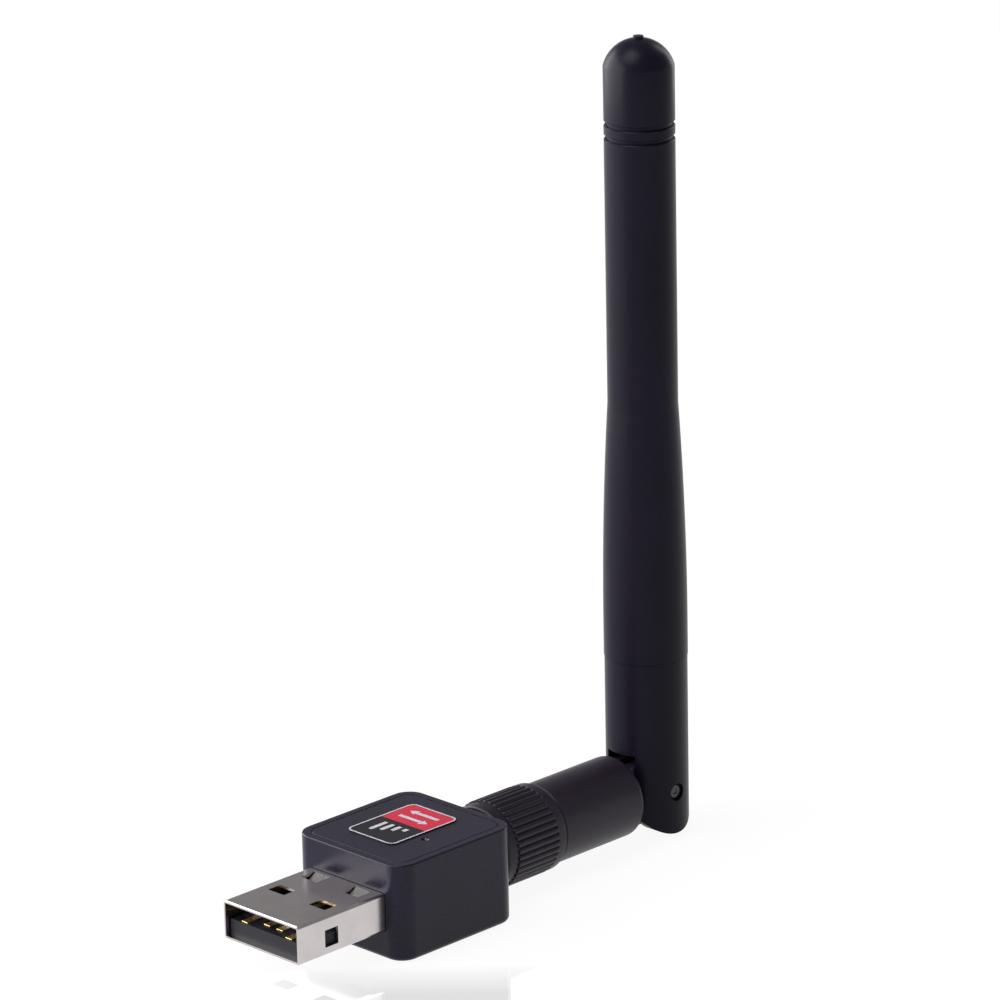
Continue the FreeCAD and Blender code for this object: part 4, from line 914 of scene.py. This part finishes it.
# ---- stage
GLOSS_FAR, GLOSS_NEAR = -6 * MM, -14 * MM  # where the floor turns glossy, towards the front
GLOSS_SIDE, GLOSS_FADE = 30 * MM, 8 * MM  # where the gloss ends beside the case, and how softly
TOWARDS_BACK, TOWARDS_SIDE = (0.706, 0.708, 0.0), (0.708, -0.706, 0.0)  # the floor's two directions
FLOOR_HALF, FLOOR_DROP = 2.5, 0.02 * MM  # half the floor's side, and its gap below the object
SENSOR, CLIP_NEAR, CLIP_FAR = 36.0, 0.01, 20.0
# Each softbox: where it stands from the object's middle, its size and its power in watts.
SOFTBOXES = {
    "softbox_left": ((-0.30, 0.40, 0.12), (1.00, 0.50), 9.5),
    "softbox_right": ((0.5, 0.05, 0.12), (0.10, 0.6), 0.8),
    "softbox_top": ((-0.25, 0.05, 0.6), (0.4, 0.4), 2.6),
}
WHITE_SHARE = 0.92  # how much of the seen floor is plain white; the rest takes the shadow


class ADAPTER_OT_stage(bpy.types.Operator):
    """Makes the pale floor, the soft lamps, the surroundings and the camera"""

    bl_idname = "adapter.stage"
    bl_label = "Stage"

    def execute(self, context):
        sizes = context.scene.adapter_stage
        level = OBJECT_LOW.z - FLOOR_DROP
        middle = (OBJECT_LOW + OBJECT_HIGH) / 2
        bm = bmesh.new()
        bmesh.ops.create_grid(bm, x_segments=8, y_segments=8, size=FLOOR_HALF)
        bmesh.ops.translate(bm, verts=bm.verts, vec=(middle.x, middle.y, level))
        floor = new_piece("studio_floor", bm)
        floor.data.materials.append(self.floor_finish(sizes.mirror))
        self.surroundings(context.scene)
        self.lamps(middle)
        self.camera(context.scene, sizes)
        return {"FINISHED"}

    def floor_finish(self, mirror):
        """A white sweep with a faint gloss, seen as plain white with a little of the object's shadow."""
        material, tree = empty_material("painted_white_sweep")
        seen, rays = seen_rays(tree)
        place = add_node(tree, PLACE).outputs["Object"]
        along = add_node(tree, VECTOR, {0: place, 1: TOWARDS_BACK}, operation="DOT_PRODUCT")
        near = add_node(tree, RANGE, {"Value": along.outputs["Value"], "From Min": GLOSS_FAR,
                                      "From Max": GLOSS_NEAR, "To Max": mirror}).outputs["Result"]
        across = add_node(tree, VECTOR, {0: place, 1: TOWARDS_SIDE}, operation="DOT_PRODUCT")
        beside = add_node(tree, RANGE, {"Value": across.outputs["Value"], "From Min": GLOSS_SIDE,
                                        "From Max": GLOSS_SIDE - GLOSS_FADE}).outputs["Result"]
        polished = add_node(tree, MATH, {0: near, 1: beside}, operation="MULTIPLY").outputs[0]
        gloss_share = add_node(tree, MATH, {0: polished, 1: rays["Is Camera Ray"]},
                               operation="MULTIPLY").outputs[0]
        # The white gives up what the gloss adds from the room overhead, so that both together are white.
        left = add_node(tree, MATH, {0: gloss_share, 1: -OVERHEAD, 2: 1.0}, operation="MULTIPLY_ADD")
        matt = add_node(tree, "ShaderNodeBsdfDiffuse", {"Color": colour("#f4f4f4"), "Roughness": 0.4})
        white = add_node(tree, "ShaderNodeEmission", {"Color": (1, 1, 1, 1), "Strength": left.outputs[0]})
        gloss = add_node(tree, "ShaderNodeBsdfGlossy", {"Color": gloss_share, "Roughness": 0.03})
        share = add_node(tree, MATH, {0: seen, 1: WHITE_SHARE}, operation="MULTIPLY")
        plain = add_node(tree, "ShaderNodeMixShader", {
            0: share.outputs[0], 1: matt.outputs[0], 2: white.outputs[0]})
        both = add_node(tree, "ShaderNodeAddShader", {0: plain.outputs[0], 1: gloss.outputs[0]})
        add_node(tree, "ShaderNodeOutputMaterial", {"Surface": both.outputs[0]})
        return material

    def surroundings(self, scene):
        """A room that the camera, metal and glass see white up to above the horizon and dim overhead."""
        world = bpy.data.worlds.new("studio_room")
        world.use_nodes = True
        tree = world.node_tree
        tree.nodes.clear()
        seen = seen_rays(tree)[0]
        way = add_node(tree, PLACE).outputs["Generated"]
        height = add_node(tree, SEPARATE, {0: way}).outputs["Z"]
        room = add_node(tree, RANGE, {"Value": height, "From Min": WHITE_TOP, "From Max": DIM_FROM,
                                      "To Min": 1.0, "To Max": OVERHEAD},
                        interpolation_type="SMOOTHSTEP")
        level = add_node(tree, "ShaderNodeMix", {0: seen, 2: ROOM_LIGHT, 3: room.outputs["Result"]},
                         data_type="FLOAT")
        back = add_node(tree, "ShaderNodeBackground", {"Color": (1, 1, 1, 1), "Strength": level.outputs[0]})
        add_node(tree, "ShaderNodeOutputWorld", {"Surface": back.outputs[0]})
        scene.world = world

    def lamps(self, middle):
        """Softboxes: a wide one behind on the left, a narrow one on the right, a large one overhead."""
        for name, (place, size, power) in SOFTBOXES.items():
            lamp = bpy.data.lights.new(name, "AREA")
            lamp.shape, lamp.size, lamp.size_y, lamp.energy = "RECTANGLE", size[0], size[1], power
            stand = bpy.data.objects.new(name, lamp)
            stand.location = middle + Vector(place)
            stand.rotation_euler = (middle - stand.location).to_track_quat("-Z", "Y").to_euler()
            bpy.context.scene.collection.objects.link(stand)

    def camera(self, scene, sizes):
        """The camera from its place, its two angles and its roll."""
        a, e, r = sizes.azimuth, sizes.elevation, sizes.roll
        back = Vector((sin(a) * cos(e), -cos(a) * cos(e), sin(e)))
        right = (-back).cross(Vector((0, 0, 1))).normalized()
        up = right.cross(-back)
        across, upward = right * cos(r) + up * sin(r), up * cos(r) - right * sin(r)
        lens = bpy.data.cameras.new("camera")
        lens.lens, lens.sensor_width = sizes.lens, SENSOR
        lens.clip_start, lens.clip_end = CLIP_NEAR, CLIP_FAR
        camera = bpy.data.objects.new("camera", lens)
        turned = Matrix((across, upward, back)).transposed().to_4x4()
        camera.matrix_world = Matrix.Translation(Vector(sizes.place)) @ turned
        scene.collection.objects.link(camera)
        scene.camera = camera
        scene.view_settings.view_transform = "Standard"


# ---- panel and registration
OPERATORS = [ADAPTER_OT_case, ADAPTER_OT_label, ADAPTER_OT_window, ADAPTER_OT_plug, ADAPTER_OT_contacts,
             ADAPTER_OT_sleeve, ADAPTER_OT_hinge, ADAPTER_OT_pins, ADAPTER_OT_radome, ADAPTER_OT_cable,
             ADAPTER_OT_inside, ADAPTER_OT_stage]


class ADAPTER_PT_build(bpy.types.Panel):
    """Lists the steps that build the adapter"""

    bl_idname = "ADAPTER_PT_build"
    bl_label = "USB wireless adapter"
    bl_space_type = "VIEW_3D"
    bl_region_type = "UI"
    bl_category = "Adapter"

    def draw(self, context):
        column = self.layout.column()
        for step in OPERATORS:
            column.operator(step.bl_idname)
        for name, group in SETTINGS.items():
            box = column.box()
            for key in group.__annotations__:
                box.prop(getattr(context.scene, name), key)


def register():
    for made in [*SETTINGS.values(), *OPERATORS, ADAPTER_PT_build]:
        bpy.utils.register_class(made)
    for name, group in SETTINGS.items():
        setattr(bpy.types.Scene, name, PointerProperty(type=group))


def unregister():
    for name in SETTINGS:
        delattr(bpy.types.Scene, name)
    for made in reversed([*SETTINGS.values(), *OPERATORS, ADAPTER_PT_build]):
        bpy.utils.unregister_class(made)


def main():
    register()
    for step in OPERATORS:
        family, action = step.bl_idname.split(".")
        getattr(getattr(bpy.ops, family), action)()


if __name__ == "__main__":
    main()
